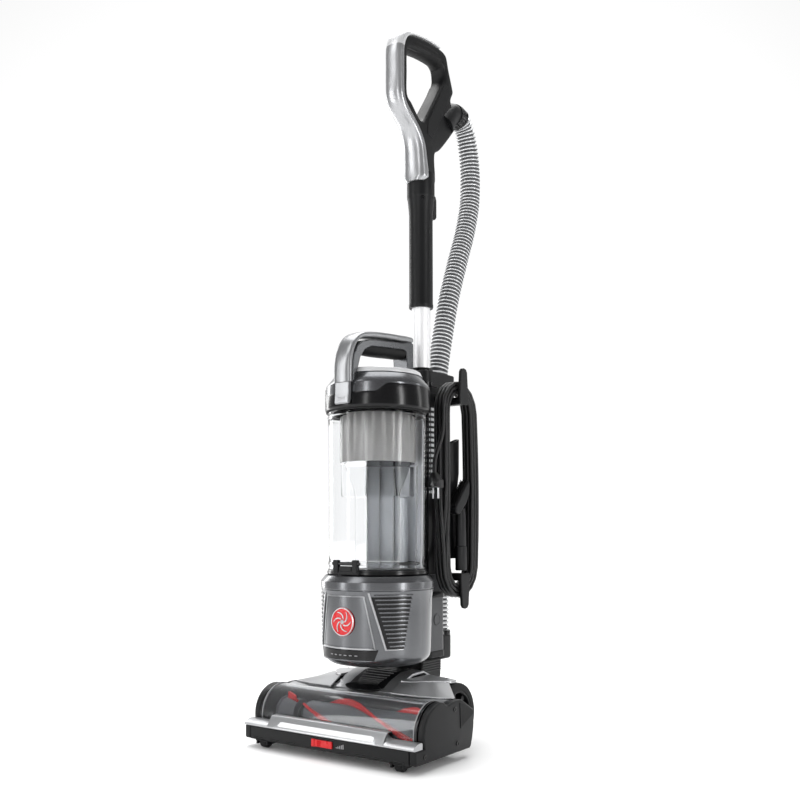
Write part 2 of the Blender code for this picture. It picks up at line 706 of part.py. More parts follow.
def make_cup(body):
    wall = 0.0025
    ring = [(CUP_R, CUP_HIGH), (0.0745, CUP_LOW), (0.0745 - wall, CUP_LOW), (CUP_R - wall, CUP_HIGH)]
    turned("dust_cup", ring, (0, CUP_Y, 0), "clear", body, ring=True, steps=36)
    door = [(0.0000, CUP_LOW - GAP), (0.0755, CUP_LOW - GAP), (0.0770, CUP_LOW - 0.004),
            (0.0770, HOUSING_TOP + 0.0010), (0.0000, HOUSING_TOP + 0.0010)]
    turned("cup_base", door, (0, CUP_Y, 0), "black", body, steps=32)
    band = [(0.0800, 0.5330), (0.0820, 0.5300), (0.0820, 0.5100), (0.0800, CUP_HIGH + GAP),
            (0.0700, CUP_HIGH + GAP), (0.0700, 0.5330)]
    turned("lid_band", band, (0, CUP_Y, 0), "black", body, ring=True, steps=32)
    lid = [(0.0000, LID_HIGH), (0.0680, LID_HIGH), (0.0780, 0.5590), (0.0800, 0.5533), (0.0800, 0.5333),
           (0.0760, 0.5333), (0.0760, 0.5560), (0.0660, 0.5610), (0.0000, 0.5610)]
    turned("cup_lid", lid, (0, CUP_Y, 0), "gunmetal", body, steps=32)
    outline = [
        (-0.1335, 0.5420), (-0.1345, 0.5720), (-0.1280, 0.6000), (-0.1100, 0.6180), (-0.0800, 0.6265),
        (0.0050, 0.6345), (0.0260, 0.6335), (0.0340, 0.6235), (0.0340, 0.5655), (0.0160, 0.5655),
        (0.0160, 0.6110), (-0.0800, 0.6050), (-0.1000, 0.5940), (-0.1120, 0.5655), (-0.1240, 0.5600),
        (-0.1260, 0.5420),
    ]
    prism("carry_handle", "x", -0.0160, 0.0160, [outline], "silver", body, bevel=0.002)
    outline = [
        (-0.0965, 0.5948), (-0.0795, 0.6035), (0.0157, 0.6092), (0.0157, 0.5965), (0.0050, 0.5915),
        (-0.0780, 0.5890),
    ]
    prism("carry_grip", "x", -0.0140, 0.0140, [outline], "black", body)
    latch = anchor("cup_latch_axis", (0, -0.1300, 0.5360), body)
    outline = [(-0.1335, 0.5400), (-0.1262, 0.5400), (-0.1262, 0.5150), (-0.1300, 0.5080), (-0.1350, 0.5090)]
    prism("cup_latch", "x", -0.0130, 0.0130, [outline], "silver", latch, bevel=0.0008)
    shroud = [(0.0000, 0.5000), (0.0590, 0.5000), (0.0590, 0.4240), (0.0000, 0.4240)]
    turned("cyclone_shroud", shroud, (0, CUP_Y, 0), "grey", body, steps=32)
    skirt = [(0.0570, 0.4237), (0.0560, 0.3720), (0.0545, 0.3720), (0.0555, 0.4237)]
    turned("cyclone_skirt", skirt, (0, CUP_Y, 0), "clear", body, ring=True, steps=32)
    column = [(0.0500, 0.4237), (0.0350, 0.3800), (0.0340, 0.2628), (0.0325, 0.2628), (0.0335, 0.3800),
              (0.0485, 0.4237)]
    turned("cyclone_cone", column, (0, CUP_Y, 0), "grey", body, ring=True, steps=32)
    prism("clean_air_duct", "z", 0.2628, 0.3716, [rectangle(0.0010, 0.0000, 0.0170, 0.0170, corner=0.004)],
          "grey", body)


# Wand

def handle_outline():
    """Outside of the handle in side view, from the wand's front up and over to its back."""
    front = [(0.0620, 0.9253), (0.0600, 0.9405), (0.0552, 0.9805), (0.0388, 1.0003), (0.0097, 1.0227),
             (0.0005, 1.0354)]
    top = [(0.0005, 1.1253), (0.0054, 1.1394), (0.0161, 1.1472), (0.0323, 1.1531), (0.0526, 1.1580),
           (0.0890, 1.1630), (0.1370, 1.1600)]
    back = [(0.1450, 1.1400), (0.1590, 1.1060), (0.1600, 1.0990), (0.1510, 1.0820)]
    branch = [(0.1385, 1.0645), (0.1650, 1.0360), (0.1192, 0.9818), (0.1010, 0.9700), (0.0990, 0.9580),
              (0.0990, 0.9253)]
    return front + top + back + branch


def handle_opening():
    return [
        (0.0175, 1.0430), (0.0175, 1.1130), (0.0240, 1.1260), (0.0500, 1.1320), (0.0850, 1.1390),
        (0.1130, 1.1420), (0.1260, 1.1370), (0.1300, 1.1260), (0.1290, 1.1120), (0.1150, 1.0880),
        (0.0700, 1.0200), (0.0600, 1.0130), (0.0500, 1.0160), (0.0300, 1.0330),
    ]


def make_wand(body):
    wide = WAND_WIDE_R
    profile = [
        (wide, WAND_HIGH), (wide, WAND_WIDE_LOW + 0.012), (WAND_R, WAND_WIDE_LOW - 0.010),
        (WAND_R, WAND_LOW + 0.002), (WAND_R - 0.001, WAND_LOW), (TUBE_R + 0.0006, WAND_LOW),
        (TUBE_R + 0.0006, WAND_HIGH),
    ]
    turned("wand_tube", profile, (0, TUBE_Y, 0), "black", body, ring=True, steps=28)
    loops = [handle_outline(), handle_opening()]
    prism("handle_grip", "x", -0.0155, 0.0155, loops, "black", body, bevel=0.004)
    outline = [
        (0.0540, 0.9260), (0.0505, 0.9380), (0.0480, 0.9770), (0.0330, 0.9950), (0.0040, 1.0170),
        (-0.0075, 1.0330), (-0.0078, 1.1270), (-0.0010, 1.1440), (0.0120, 1.1540), (0.0300, 1.1600),
        (0.0520, 1.1650), (0.0890, 1.1700), (0.1200, 1.1690), (0.1195, 1.1623), (0.0890, 1.1640),
        (0.0525, 1.1590), (0.0320, 1.1541), (0.0155, 1.1482), (0.0045, 1.1400), (-0.0005, 1.1255),
        (-0.0005, 1.0350), (0.0090, 1.0219), (0.0380, 0.9996), (0.0542, 0.9800), (0.0590, 0.9400),
        (0.0610, 0.9253),
    ]
    prism("handle_shell", "x", -0.0170, 0.0170, [outline], "silver", body, bevel=0.002)
    axis = anchor("wand_button_axis", (0, TUBE_Y + WAND_WIDE_R, 0.880), body)
    block("wand_button", (-0.0070, 0.1010, 0.8530), (0.0070, 0.1090, 0.9000), "black", axis, bevel=0.0015)


def hose_route():
    """Middle of the hose from its cuff on the handle down to the elbow behind the spine."""
    points = [
        (0, 0.1950, 1.0712), (0, 0.2070, 1.0680), (0, 0.2200, 1.0560), (0, 0.2310, 1.0300),
        (0, 0.2385, 0.9950), (0, 0.2400, 0.9600), (0, 0.2360, 0.9157), (0, 0.2190, 0.8600),
        (0, 0.1957, 0.8057), (0, 0.1640, 0.7269), (0, 0.1430, 0.6560), (0, 0.1300, 0.6050),
        (0, HOSE_Y, 0.5750), (0, HOSE_Y, 0.4800), (0, HOSE_Y, 0.3700), (0, HOSE_Y, 0.2600),
        (0, HOSE_Y, 0.1503),
    ]
    return [(0, 0.1888, 1.0718)] + smooth_route(points, 0.040)


def make_hose(upright, wand):
    pipe("suction_hose", hose_route(), HOSE_R, "silver", upright, resolution=2, wall=0.0015)
    cuff = [(0, 0.1544, 1.0524), (0, 0.1630, 1.0625), (0, 0.1715, 1.0695), (0, 0.1775, 1.0718),
            (0, 0.1835, 1.0720)]
    pipe("hose_cuff", cuff, 0.0180, "black", wand, resolution=2)


# Mains cord

def make_cord(body):
    width = REEL_TURNS * 2 * CORD_R
    low, high = REEL_X - width / 2, REEL_X + width / 2
    outside = bowed(racetrack(REEL_HALF, REEL_LOW, REEL_HIGH, REEL_Y))
    depth = REEL_TURNS * 2 * CORD_R
    inside = bowed(racetrack(REEL_HALF - depth, REEL_LOW + depth, REEL_HIGH - depth, REEL_Y))[::-1]
    prism("cord_winding", "x", low, high, [outside, inside], "black", body)
    rod("strain_relief", (0.0424, 0.0690, 0.3700), (0.0424, 0.0690, 0.3350), 0.0060, "rubber", body,
        end_radius=0.0040, sides=12)
    lead = [(0.0424, 0.0690, 0.3347), (0.0424, 0.0690, 0.3150), (0.0440, 0.0665, 0.2900),
            (0.0455, 0.0620, 0.2680)]
    pipe("cord_lead", smooth_route(lead, 0.014), CORD_R, "rubber", body, resolution=2)
    outline = [(0.0505, 0.3870), (0.0695, 0.3870), (0.0695, 0.4060), (0.0640, 0.4110), (0.0560, 0.4110),
               (0.0505, 0.4060)]
    plug = prism("power_plug", "y", 0.0150, 0.0340, [outline], "black", body)
    for x in (0.0555, 0.0645):
        blade = block("plug_blade", (x - 0.0008, 0.0215, 0.3700), (x + 0.0008, 0.0275, 0.3880), "steel", body)
        join(plug, blade)


clear_scene()
PARTS = new_collection(NAME, bpy.context.scene.collection)
CUTTERS = new_collection("cutters", bpy.context.scene.collection)
HEAD = anchor("floor_head", (0, 0, 0))
UPRIGHT = anchor("recline_axis", (0, PIVOT_Y, PIVOT_Z), HEAD)
CUP = anchor("dust_cup_slide", (0, CUP_Y, HOUSING_TOP), UPRIGHT)
WAND = anchor("wand_slide", (0, TUBE_Y, WAND_LOW), UPRIGHT)
make_head(HEAD)
make_upright(UPRIGHT)
make_cup(CUP)
make_wand(WAND)
make_hose(UPRIGHT, WAND)
make_cord(UPRIGHT)
HEAD.location.y = MOVE_Y
bpy.context.view_layer.update()
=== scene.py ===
import math
import random

import bmesh
import bpy
from mathutils import Matrix, Vector


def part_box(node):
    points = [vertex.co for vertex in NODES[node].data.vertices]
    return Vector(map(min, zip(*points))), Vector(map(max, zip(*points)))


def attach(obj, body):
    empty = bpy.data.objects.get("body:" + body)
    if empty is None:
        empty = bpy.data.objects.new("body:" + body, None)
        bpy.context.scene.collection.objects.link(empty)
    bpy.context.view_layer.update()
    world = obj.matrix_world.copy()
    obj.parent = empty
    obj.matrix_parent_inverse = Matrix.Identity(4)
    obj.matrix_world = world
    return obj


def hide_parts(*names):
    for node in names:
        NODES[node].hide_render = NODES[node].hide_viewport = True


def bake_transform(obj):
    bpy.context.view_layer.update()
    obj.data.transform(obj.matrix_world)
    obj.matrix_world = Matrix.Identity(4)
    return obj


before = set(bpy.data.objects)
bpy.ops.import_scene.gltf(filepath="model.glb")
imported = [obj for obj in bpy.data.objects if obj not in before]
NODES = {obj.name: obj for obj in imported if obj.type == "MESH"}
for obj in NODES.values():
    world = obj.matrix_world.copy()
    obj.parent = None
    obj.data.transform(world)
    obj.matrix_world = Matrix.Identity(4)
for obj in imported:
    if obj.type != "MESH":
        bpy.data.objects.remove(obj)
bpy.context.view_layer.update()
random.seed(7)

# Driving sizes, in metres. Points are written with the wand's axis at y = TUBE_Y.
TUBE_Y = 0.077
TUBE_LOW, TUBE_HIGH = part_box("metal_tube")
SHIFT = (TUBE_LOW.y + TUBE_HIGH.y) / 2 - TUBE_Y
CUP_Y = -0.0435
BRUSH_Y, BRUSH_Z = -0.106, 0.045
BELT_X, BELT_GAP = -0.085, 0.0115     # no bristles nearer to the belt than the gap
HOSE_Y = 0.1255
HOSE_R = 0.0185
CORD_R = 0.0034
REEL_X, REEL_Y = 0.06, 0.088
REEL_HALF, REEL_LOW, REEL_HIGH, REEL_BOW = 0.0505, 0.213, 0.564, 0.008
WHEEL_X, WHEEL_Y, WHEEL_R = 0.104, 0.006, 0.047
ROUND = 2 * math.pi
SIDES = ((-1, "left"), (1, "right"))


# Materials

def add_node(tree, kind, operation=None, **values):
    """A shader node with its operation and its inputs set; an underscore stands for a space."""
    node = tree.nodes.new("ShaderNode" + kind)
    if operation:
        node.operation = operation
    for name, value in values.items():
        node.inputs[name.replace("_", " ")].default_value = value
    return node


def link(tree, source, output, target, name):
    tree.links.new(source.outputs[output], target.inputs[name])


def material(name, color, rough=0.4, metallic=0.0, vary=0.12, scale=60.0, grain=0.0, grain_scale=900.0,
             coat=0.0, clear=0.0, streak=0.0, streak_scale=(400, 400, 6), rough_vary=0.06, ior=1.46,
             spec=0.5):
    """A finish whose colour and roughness drift a little, with fine grain or fine lines if asked."""
    mat = bpy.data.materials.new(name)
    mat.use_nodes = True
    tree = mat.node_tree
    bsdf = tree.nodes["Principled BSDF"]
    coord = add_node(tree, "TexCoord")
    noise = add_node(tree, "TexNoise", Scale=scale, Detail=4)
    link(tree, coord, "Object", noise, "Vector")
    ramp = add_node(tree, "MapRange", To_Min=1 - vary, To_Max=1 + vary)
    link(tree, noise, "Fac", ramp, "Value")
    tint = add_node(tree, "VectorMath", "SCALE")
    tint.inputs[0].default_value = color
    link(tree, ramp, "Result", tint, "Scale")
    link(tree, tint, "Vector", bsdf, "Base Color")
    spread = add_node(tree, "MapRange", To_Min=max(0.02, rough - rough_vary),
                      To_Max=min(1.0, rough + rough_vary))
    link(tree, noise, "Fac", spread, "Value")
    link(tree, spread, "Result", bsdf, "Roughness")
    for socket, value in (("Metallic", metallic), ("IOR", ior), ("Specular IOR Level", spec),
                          ("Coat Weight", coat), ("Coat Roughness", 0.12), ("Transmission Weight", clear)):
        bsdf.inputs[socket].default_value = value
    if not grain and not streak:
        return mat
    if streak:
        mapping = add_node(tree, "Mapping", Scale=streak_scale)
        link(tree, coord, "Object", mapping, "Vector")
        fine = add_node(tree, "TexNoise", Scale=1.0)
        link(tree, mapping, "Vector", fine, "Vector")
    else:
        fine = add_node(tree, "TexNoise", Scale=grain_scale, Detail=2)
        link(tree, coord, "Object", fine, "Vector")
    bump = add_node(tree, "Bump", Strength=streak or grain, Distance=0.0006)
    link(tree, fine, "Fac", bump, "Height")
    link(tree, bump, "Normal", bsdf, "Normal")
    return mat


M = {
    "black": material("black_plastic", (0.0058, 0.006, 0.0066), 0.42, grain=0.06, spec=0.25),
    "gloss": material("gloss_black", (0.0045, 0.0045, 0.005), 0.2, vary=0.08, scale=25, spec=0.35),
    "soft": material("soft_black", (0.0065, 0.0065, 0.0068), 0.58, grain=0.25, grain_scale=1600, spec=0.25),
    "gun": material("gunmetal_paint", (0.124, 0.127, 0.134), 0.25, 0.85, vary=0.04, scale=30, rough_vary=0.03,
                    coat=0.25),
    "dark_gun": material("dark_gunmetal_paint", (0.08, 0.083, 0.088), 0.27, 0.8, vary=0.04, scale=30,
                         rough_vary=0.03, coat=0.25),
    "satin": material("satin_paint", (0.27, 0.274, 0.282), 0.3, 0.75, vary=0.04, scale=30, rough_vary=0.03,
                      coat=0.2),
    "silver": material("silver_paint", (0.4, 0.405, 0.415), 0.3, 0.75, vary=0.03, scale=25, rough_vary=0.03,
                       coat=0.2),
    # Pale paint on the lid rim; on the handle's top strip the same paint is a painted highlight.
    "pale_and_highlight": material("pale_paint_and_painted_highlight", (0.72, 0.725, 0.735), 0.36, 0.45, vary=0.02, scale=25, rough_vary=0.03,
                      coat=0.2),
    "grey": material("grey_plastic", (0.055, 0.056, 0.06), 0.36, grain=0.06, spec=0.4),
    "shroud": material("shroud_plastic", (0.3, 0.295, 0.29), 0.34, 0.2, vary=0.05, grain=0.04),
    "panel": material("cup_panel", (0.62, 0.64, 0.67), 0.45, 0.0, vary=0.05, scale=18, grain=0.03),
    "clear": material("clear_plastic", (0.97, 0.975, 0.98), 0.04, vary=0.01, scale=20, clear=1.0,
                      rough_vary=0.01, ior=1.18),
    "thin": material("inner_clear_plastic", (0.985, 0.988, 0.99), 0.03, vary=0.006, scale=20, clear=1.0,
                     rough_vary=0.01, ior=1.035),
    "smoke": material("smoke_plastic", (0.82, 0.83, 0.85), 0.05, vary=0.02, scale=20, clear=0.97,
                      rough_vary=0.02, ior=1.3),
    "steel": material("steel", (0.5, 0.5, 0.51), 0.35, 1.0, streak=0.2),
    "bright": material("bright_tube", (0.86, 0.86, 0.87), 0.42, 0.35, vary=0.02, streak=0.05,
                       streak_scale=(900, 900, 8)),
    "rubber": material("rubber", (0.01, 0.01, 0.0105), 0.7, grain=0.3, grain_scale=1200, spec=0.3),
    "red": material("red_plastic", (0.62, 0.008, 0.012), 0.28, vary=0.08, spec=0.4),
    "bristle": material("bristle_red", (0.9, 0.018, 0.02), 0.6, vary=0.2, scale=500, streak=0.6,
                        streak_scale=(1500, 300, 300)),
    "core": material("brush_core", (0.105, 0.109, 0.116), 0.4, grain=0.1),
    "white": material("white_lens", (0.86, 0.87, 0.88), 0.25, vary=0.02, grain=0.05, grain_scale=700),
    "foam": material("foam", (0.12, 0.12, 0.13), 0.9, vary=0.3, scale=900, grain=0.8, grain_scale=700),
    "hose": material("hose_plastic", (0.7, 0.71, 0.72), 0.3, 0.25, vary=0.04, grain=0.03),
    # Dark grey for the hose's grooves: painted shade in the creases between the ribs.
    "hose_groove_shade": material("hose_painted_groove_shade", (0.062, 0.063, 0.066), 0.45, 0.0, vary=0.1, grain=0.05),
    "cord": material("cord_rubber", (0.0075, 0.0075, 0.008), 0.36, vary=0.15, scale=200, grain=0.08,
                     spec=0.4),
    "pcb": material("label_grey", (0.3, 0.3, 0.31), 0.35, 0.3, vary=0.06, grain=0.05),
}


# Mesh helpers

def mm2(*values):
    """Points of two coordinates, given in millimetres."""
    return [(u / 1000, v / 1000) for u, v in zip(values[::2], values[1::2])]


def mm3(*values):
    """Points of three coordinates, given in millimetres."""
    return [(x / 1000, y / 1000, z / 1000) for x, y, z in zip(values[::3], values[1::3], values[2::3])]


def pairs(*values):
    """Boxes for boxes(), each given by two opposite corners in millimetres."""
    corners = mm3(*values)
    return list(zip(corners[::2], corners[1::2]))


def mid(*values):
    """Points in the middle plane, given by Y and Z in millimetres."""
    return [(0, y, z) for y, z in mm2(*values)]


def add_object(name, data):
    obj = bpy.data.objects.new(name, data)
    bpy.context.scene.collection.objects.link(obj)
    return obj


def piece(name, bm, kind, body, replaces=(), sharp=35.0, bevel=0.0, segments=3, extra=()):
    """Turns bm into a visible piece that rides on body and stands in for the CAD nodes in replaces."""
    bmesh.ops.recalc_face_normals(bm, faces=bm.faces)
    mesh = bpy.data.meshes.new(name)
    bm.to_mesh(mesh)
    bm.free()
    mesh.transform(Matrix.Translation((0, SHIFT, 0)))
    obj = add_object(name, mesh)
    for key in (kind, *extra):
        mesh.materials.append(M[key])
    mesh.shade_smooth()
    if bevel:
        modifier = obj.modifiers.new("bevel", "BEVEL")
        modifier.width = bevel
        modifier.segments = segments
        modifier.limit_method = "ANGLE"
        modifier.angle_limit = math.radians(sharp)
        modifier.harden_normals = False
        obj.modifiers.new("weighted", "WEIGHTED_NORMAL").keep_sharp = True
    else:
        mesh.set_sharp_from_angle(angle=math.radians(sharp))
    if body:
        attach(obj, body)
    if replaces:
        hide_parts(*replaces)
    return obj


def arc(centre, radius, start, end, count):
    """Points along an arc, between two angles in degrees."""
    angles = [math.radians(start + (end - start) * k / count) for k in range(count + 1)]
    return [(centre[0] + radius * math.cos(a), centre[1] + radius * math.sin(a)) for a in angles]


def box_outline(x0, y0, x1, y1, r, n=8):
    """A rectangle with round corners of radius r."""
    return (arc((x1 - r, y0 + r), r, -90, 0, n) + arc((x1 - r, y1 - r), r, 0, 90, n)
            + arc((x0 + r, y1 - r), r, 90, 180, n) + arc((x0 + r, y0 + r), r, 180, 270, n))


def oval(wide, high, p=1.0, q=1.0, count=28):
    """An oval outline; powers under 1 make it squarer."""
    out = []
    for k in range(count):
        c, s = math.cos(ROUND * k / count), math.sin(ROUND * k / count)
        out.append((wide * math.copysign(abs(c) ** p, c), high * math.copysign(abs(s) ** q, s)))
    return out


def smooth(points, steps=6, closed=False):
    """A Catmull-Rom curve through points of any dimension."""
    knots = [Vector(p) for p in points]
    n = len(knots)
    out = []
    for i in range(n if closed else n - 1):
        if closed:
            a, b, c, d = (knots[(i + k) % n] for k in (-1, 0, 1, 2))
        else:
            b, c = knots[i], knots[i + 1]
            a = knots[i - 1] if i else 2 * b - c
            d = knots[i + 2] if i + 2 < n else 2 * c - b
        for k in range(steps):
            t = k / steps
            out.append(0.5 * (2 * b + (c - a) * t + (2 * a - 5 * b + 4 * c - d) * t * t
                              + (3 * b - a - 3 * c + d) * t ** 3))
    if not closed:
        out.append(knots[-1])
    return out


def place(along, u, v, w):
    return {"x": (w, u, v), "y": (u, w, v), "z": (u, v, w)}[along]


def bridge(bm, rings, caps=True):
    """Joins each closed ring of vertices to the next, and covers both ends. Gives the side faces."""
    made = []
    for a, b in zip(rings, rings[1:]):
        n = len(a)
        for k in range(n):
            made.append(bm.faces.new((a[k], a[(k + 1) % n], b[(k + 1) % n], b[k])))
    if caps:
        bm.faces.new(rings[0])
        bm.faces.new(rings[-1])
    return made


def cover(bm, loops):
    """Fills a flat outline, with holes if there is more than one loop."""
    if len(loops) == 1:
        bm.faces.new(loops[0])
        return
    edges = [bm.edges.get(ends) or bm.edges.new(ends) for loop in loops
             for ends in zip(loop, loop[1:] + loop[:1])]
    bmesh.ops.triangle_fill(bm, edges=edges, use_beauty=True)


def shell(bm, a, b):
    """Closes two grids of vertices of the same size into a thin solid."""
    rows, columns = len(a) - 1, len(a[0]) - 1
    for grid in (a, b):
        for r in range(rows):
            for c in range(columns):
                bm.faces.new((grid[r][c], grid[r][c + 1], grid[r + 1][c + 1], grid[r + 1][c]))
    edge = [(0, c) for c in range(columns)] + [(r, columns) for r in range(rows)]
    edge += [(rows, c) for c in range(columns, 0, -1)] + [(r, 0) for r in range(rows, 0, -1)]
    for (r, c), (r2, c2) in zip(edge, edge[1:] + edge[:1]):
        bm.faces.new((a[r][c], a[r2][c2], b[r2][c2], b[r][c]))


def add_prism(bm, along, low, high, outlines):
    """Adds a straight solid with holes to bm."""
    ends = [[[bm.verts.new(place(along, *p, level)) for p in outline] for outline in outlines]
            for level in (low, high)]
    for loops in ends:
        cover(bm, loops)
    for pair in zip(*ends):
        bridge(bm, pair, caps=False)


def prism(name, along, low, high, outlines, kind, body, replaces=(), bevel=0.001, segments=3):
    """A straight piece from an outline, or from a list of an outline and its holes."""
    bm = bmesh.new()
    if not isinstance(outlines[0][0], (tuple, Vector)):
        outlines = [outlines]
    add_prism(bm, along, low, high, outlines)
    return piece(name, bm, kind, body, replaces, bevel=bevel, segments=segments)


def add_lathe(bm, profile, centre, steps=96, ring=False, along="z", wave=None, at=0.0):
    """Adds a turned shape; profile gives (radius, height), and a ring closes on itself."""
    columns = []
    for step in range(steps):
        angle = ROUND * step / steps
        column = []
        for k, (radius, height) in enumerate(profile):
            r = radius + (wave(angle, k) if wave and radius > 1e-6 else 0.0)
            if radius < 1e-6 and columns:
                column.append(columns[0][k])
                continue
            u, v = centre[0] + r * math.cos(angle), centre[1] + r * math.sin(angle)
            column.append(bm.verts.new(place(along, u, v, at + height)))
        columns.append(column)
    rows = len(profile)
    for a, b in zip(columns, columns[1:] + columns[:1]):
        for k in range(rows if ring else rows - 1):
            m = (k + 1) % rows
            corners = list(dict.fromkeys((a[k], b[k], b[m], a[m])))
            if len(corners) > 2:
                bm.faces.new(corners)


def lathe(name, profile, centre, kind, body, replaces=(), steps=96, ring=False, along="z", sharp=32.0):
    bm = bmesh.new()
    add_lathe(bm, profile, centre, steps, ring, along)
    return piece(name, bm, kind, body, replaces, sharp=sharp)


def add_box(bm, low, high):
    corners = [(x, y) for x in (low[0], high[0]) for y in (low[1], high[1])]
    rings = [[bm.verts.new((*corners[k], z)) for k in (0, 1, 3, 2)] for z in (low[2], high[2])]
    bridge(bm, rings)


def boxes(name, items, kind, body, replaces=(), bevel=0.0008):
    bm = bmesh.new()
    for low, high in items:
        add_box(bm, low, high)
    return piece(name, bm, kind, body, replaces, bevel=bevel)


def frames(path):
    """Two side vectors at each point of a path, turned as little as possible."""
    out = []
    side = Vector((1, 0, 0))
    for i in range(len(path)):
        ahead = path[min(i + 1, len(path) - 1)] - path[max(i - 1, 0)]
        ahead.normalize()
        side = (side - ahead * side.dot(ahead)).normalized()
        out.append((side, ahead.cross(side)))
    return out


def sweep(name, path, section, kind, body, replaces=(), sharp=60.0, caps=True, extra=(), pick=None):
    """A skin through section(i, share) -> list of (u, v) around each point of the path."""
    path = [Vector(p) for p in path]
    bm = bmesh.new()
    rings = []
    for i, (p, (side, up)) in enumerate(zip(path, frames(path))):
        rings.append([bm.verts.new(p + side * u + up * v) for u, v in section(i, i / (len(path) - 1))])
    for k, face in enumerate(bridge(bm, rings, caps)):
        face.material_index = pick(k // len(rings[0])) if pick else 0
    return piece(name, bm, kind, body, replaces, sharp=sharp, extra=extra)


def offset(outline, distance):
    """The outline moved inwards; outlines run anticlockwise."""
    out = []
    n = len(outline)
    for i in range(n):
        a, b, c = (Vector(outline[(i + k) % n]).to_2d() for k in (-1, 0, 1))
        d1, d2 = (b - a).normalized(), (c - b).normalized()
        normal = Vector((-(d1.y + d2.y), d1.x + d2.x))
        if normal.length < 1e-6:
            normal = Vector((-d1.y, d1.x))
        out.append(tuple(b + normal.normalized() * distance))
    return out


def area(outline):
    return sum(a[0] * b[1] - b[0] * a[1] for a, b in zip(outline, outline[1:] + outline[:1])) / 2


def pillow(name, half, outlines, round_by, kind, body, replaces=(), middle=0.0, steps=5):
    """A plate across X with fully rounded edges: its outlines are drawn in as it nears each side."""
    bm = bmesh.new()
    outlines = [list(map(tuple, o)) for o in outlines]
    outlines = [o if (area(o) > 0) == (k == 0) else o[::-1] for k, o in enumerate(outlines)]
    profile = [(middle + half - round_by * (1 - math.cos(math.pi / 2 * s / steps)),
                round_by * (1 - math.sin(math.pi / 2 * s / steps))) for s in range(steps + 1)]
    profile += [(2 * middle - w, d) for w, d in reversed(profile)]
    sides = []
    for outline in outlines:
        rings = [[bm.verts.new((w, u, v)) for u, v in offset(outline, d)] for w, d in profile]
        bridge(bm, rings, caps=False)
        sides.append(rings)
    for end in (0, -1):
        cover(bm, [rings[end] for rings in sides])
    return piece(name, bm, kind, body, replaces, sharp=50)


def housing_radius(z):
    return 0.0815 + 0.0025 * (z - 0.137) / 0.103


def curved_patch(bm, rows, columns, low, high, out, inner=0.0002, radius=housing_radius):
    """A raised plate on a turned surface; low and high are (z, left angle, right angle)."""
    grids = []
    for lift in (inner, out):
        grid = []
        for r in range(rows + 1):
            z, left, right = (a + (b - a) * r / rows for a, b in zip(low, high))
            flat = arc((0, CUP_Y), radius(z) + lift, left, right, columns)
            grid.append([bm.verts.new((x, y, z)) for x, y in flat])
        grids.append(grid)
    shell(bm, *grids)


# Camera, floor and light

BEHIND = (-0.58, 0.81, 0.0)      # level direction from the camera to the cleaner


def set_along(tree, source, output, direction):
    """A node whose Value is how far the source points along the direction."""
    node = add_node(tree, "VectorMath", "DOT_PRODUCT")
    node.inputs[1].default_value = direction
    link(tree, source, output, node, 0)
    return node


def floor_material():
    """White in a wedge behind the cleaner, easing to grey on the other sides."""
    mat = material("floor_white", (0.9, 0.9, 0.9), 0.45, vary=0.0, scale=3, spec=0.2)
    tree = mat.node_tree
    coord = add_node(tree, "TexCoord")
    across = add_node(tree, "Math", "ABSOLUTE")
    link(tree, set_along(tree, coord, "Object", (0.81, 0.58, 0)), "Value", across, 0)
    edge = add_node(tree, "Math", "MULTIPLY_ADD")
    edge.inputs[1].default_value = 0.55
    edge.inputs[2].default_value = 1.0
    link(tree, set_along(tree, coord, "Object", BEHIND), "Value", edge, 0)
    inside = add_node(tree, "Math", "SUBTRACT")
    link(tree, edge, "Value", inside, 0)
    link(tree, across, "Value", inside, 1)
    shade = add_node(tree, "MapRange", From_Min=-2.6, From_Max=0.05, To_Min=0.5, To_Max=0.92)
    link(tree, inside, "Value", shade, "Value")
    link(tree, shade, "Result", tree.nodes["Principled BSDF"], "Base Color")
    return mat


def make_stage():
    scene = bpy.context.scene
    camera = bpy.data.cameras.new("camera")
    camera.sensor_width = 36
    camera.lens = 41.6835
    camera.shift_y = 0.05
    scene.camera = add_object("camera", camera)
    scene.camera.location = (0.8611, -1.1905 + SHIFT, 0.3172)
    scene.camera.rotation_euler = (math.radians(95.7), 0, math.radians(35.52))
    bm = bmesh.new()
    bmesh.ops.create_grid(bm, x_segments=8, y_segments=8, size=30)
    mesh = bpy.data.meshes.new("floor")
    bm.to_mesh(mesh)
    bm.free()
    mesh.materials.append(floor_material())
    add_object("floor", mesh)
    # White behind the cleaner, dimmer on the near side so that the paint shows its form.
    scene.world = bpy.data.worlds.new("world")
    scene.world.use_nodes = True
    tree = scene.world.node_tree
    toward = set_along(tree, add_node(tree, "TexCoord"), "Generated", BEHIND)
    shade = add_node(tree, "MapRange", From_Min=0.35, From_Max=0.84, To_Min=0.26, To_Max=1.02)
    link(tree, toward, "Value", shade, "Value")
    link(tree, shade, "Result", tree.nodes["Background"], "Color")
    scene.view_settings.view_transform = "Standard"
    sun = bpy.data.lights.new("sun", "SUN")
    sun.energy = 3.0
    sun.angle = math.radians(55)
    add_object("sun", sun).rotation_euler = (math.radians(-14), math.radians(-12), 0)
    lamps = (
        ("left", (-1.9, 0.35, 0.75), 13, 0.35, 1.9), ("key", (-1.3, -1.9, 0.9), 16, 0.35, 2.0),
        ("front", (0.45, -2.4, 0.9), 13, 0.3, 2.0), ("fill", (2.2, -0.1, 0.75), 22, 0.3, 1.9),
        ("rim", (1.4, 1.6, 0.9), 5, 0.25, 1.6), ("high", (-0.7, -1.5, 2.4), 9, 0.9, 0.9),
    )
    for name, where, power, wide, tall in lamps:
        light = bpy.data.lights.new(name, "AREA")
        light.energy = power
        light.shape = "RECTANGLE"
        light.size, light.size_y = wide, tall
        lamp = add_object(name, light)
        lamp.location = where
        aim = Vector((0, 0, 0.5)) - Vector(where)
        lamp.rotation_euler = aim.to_track_quat("-Z", "Y").to_euler()


make_stage()


# Mains cord and suction hose

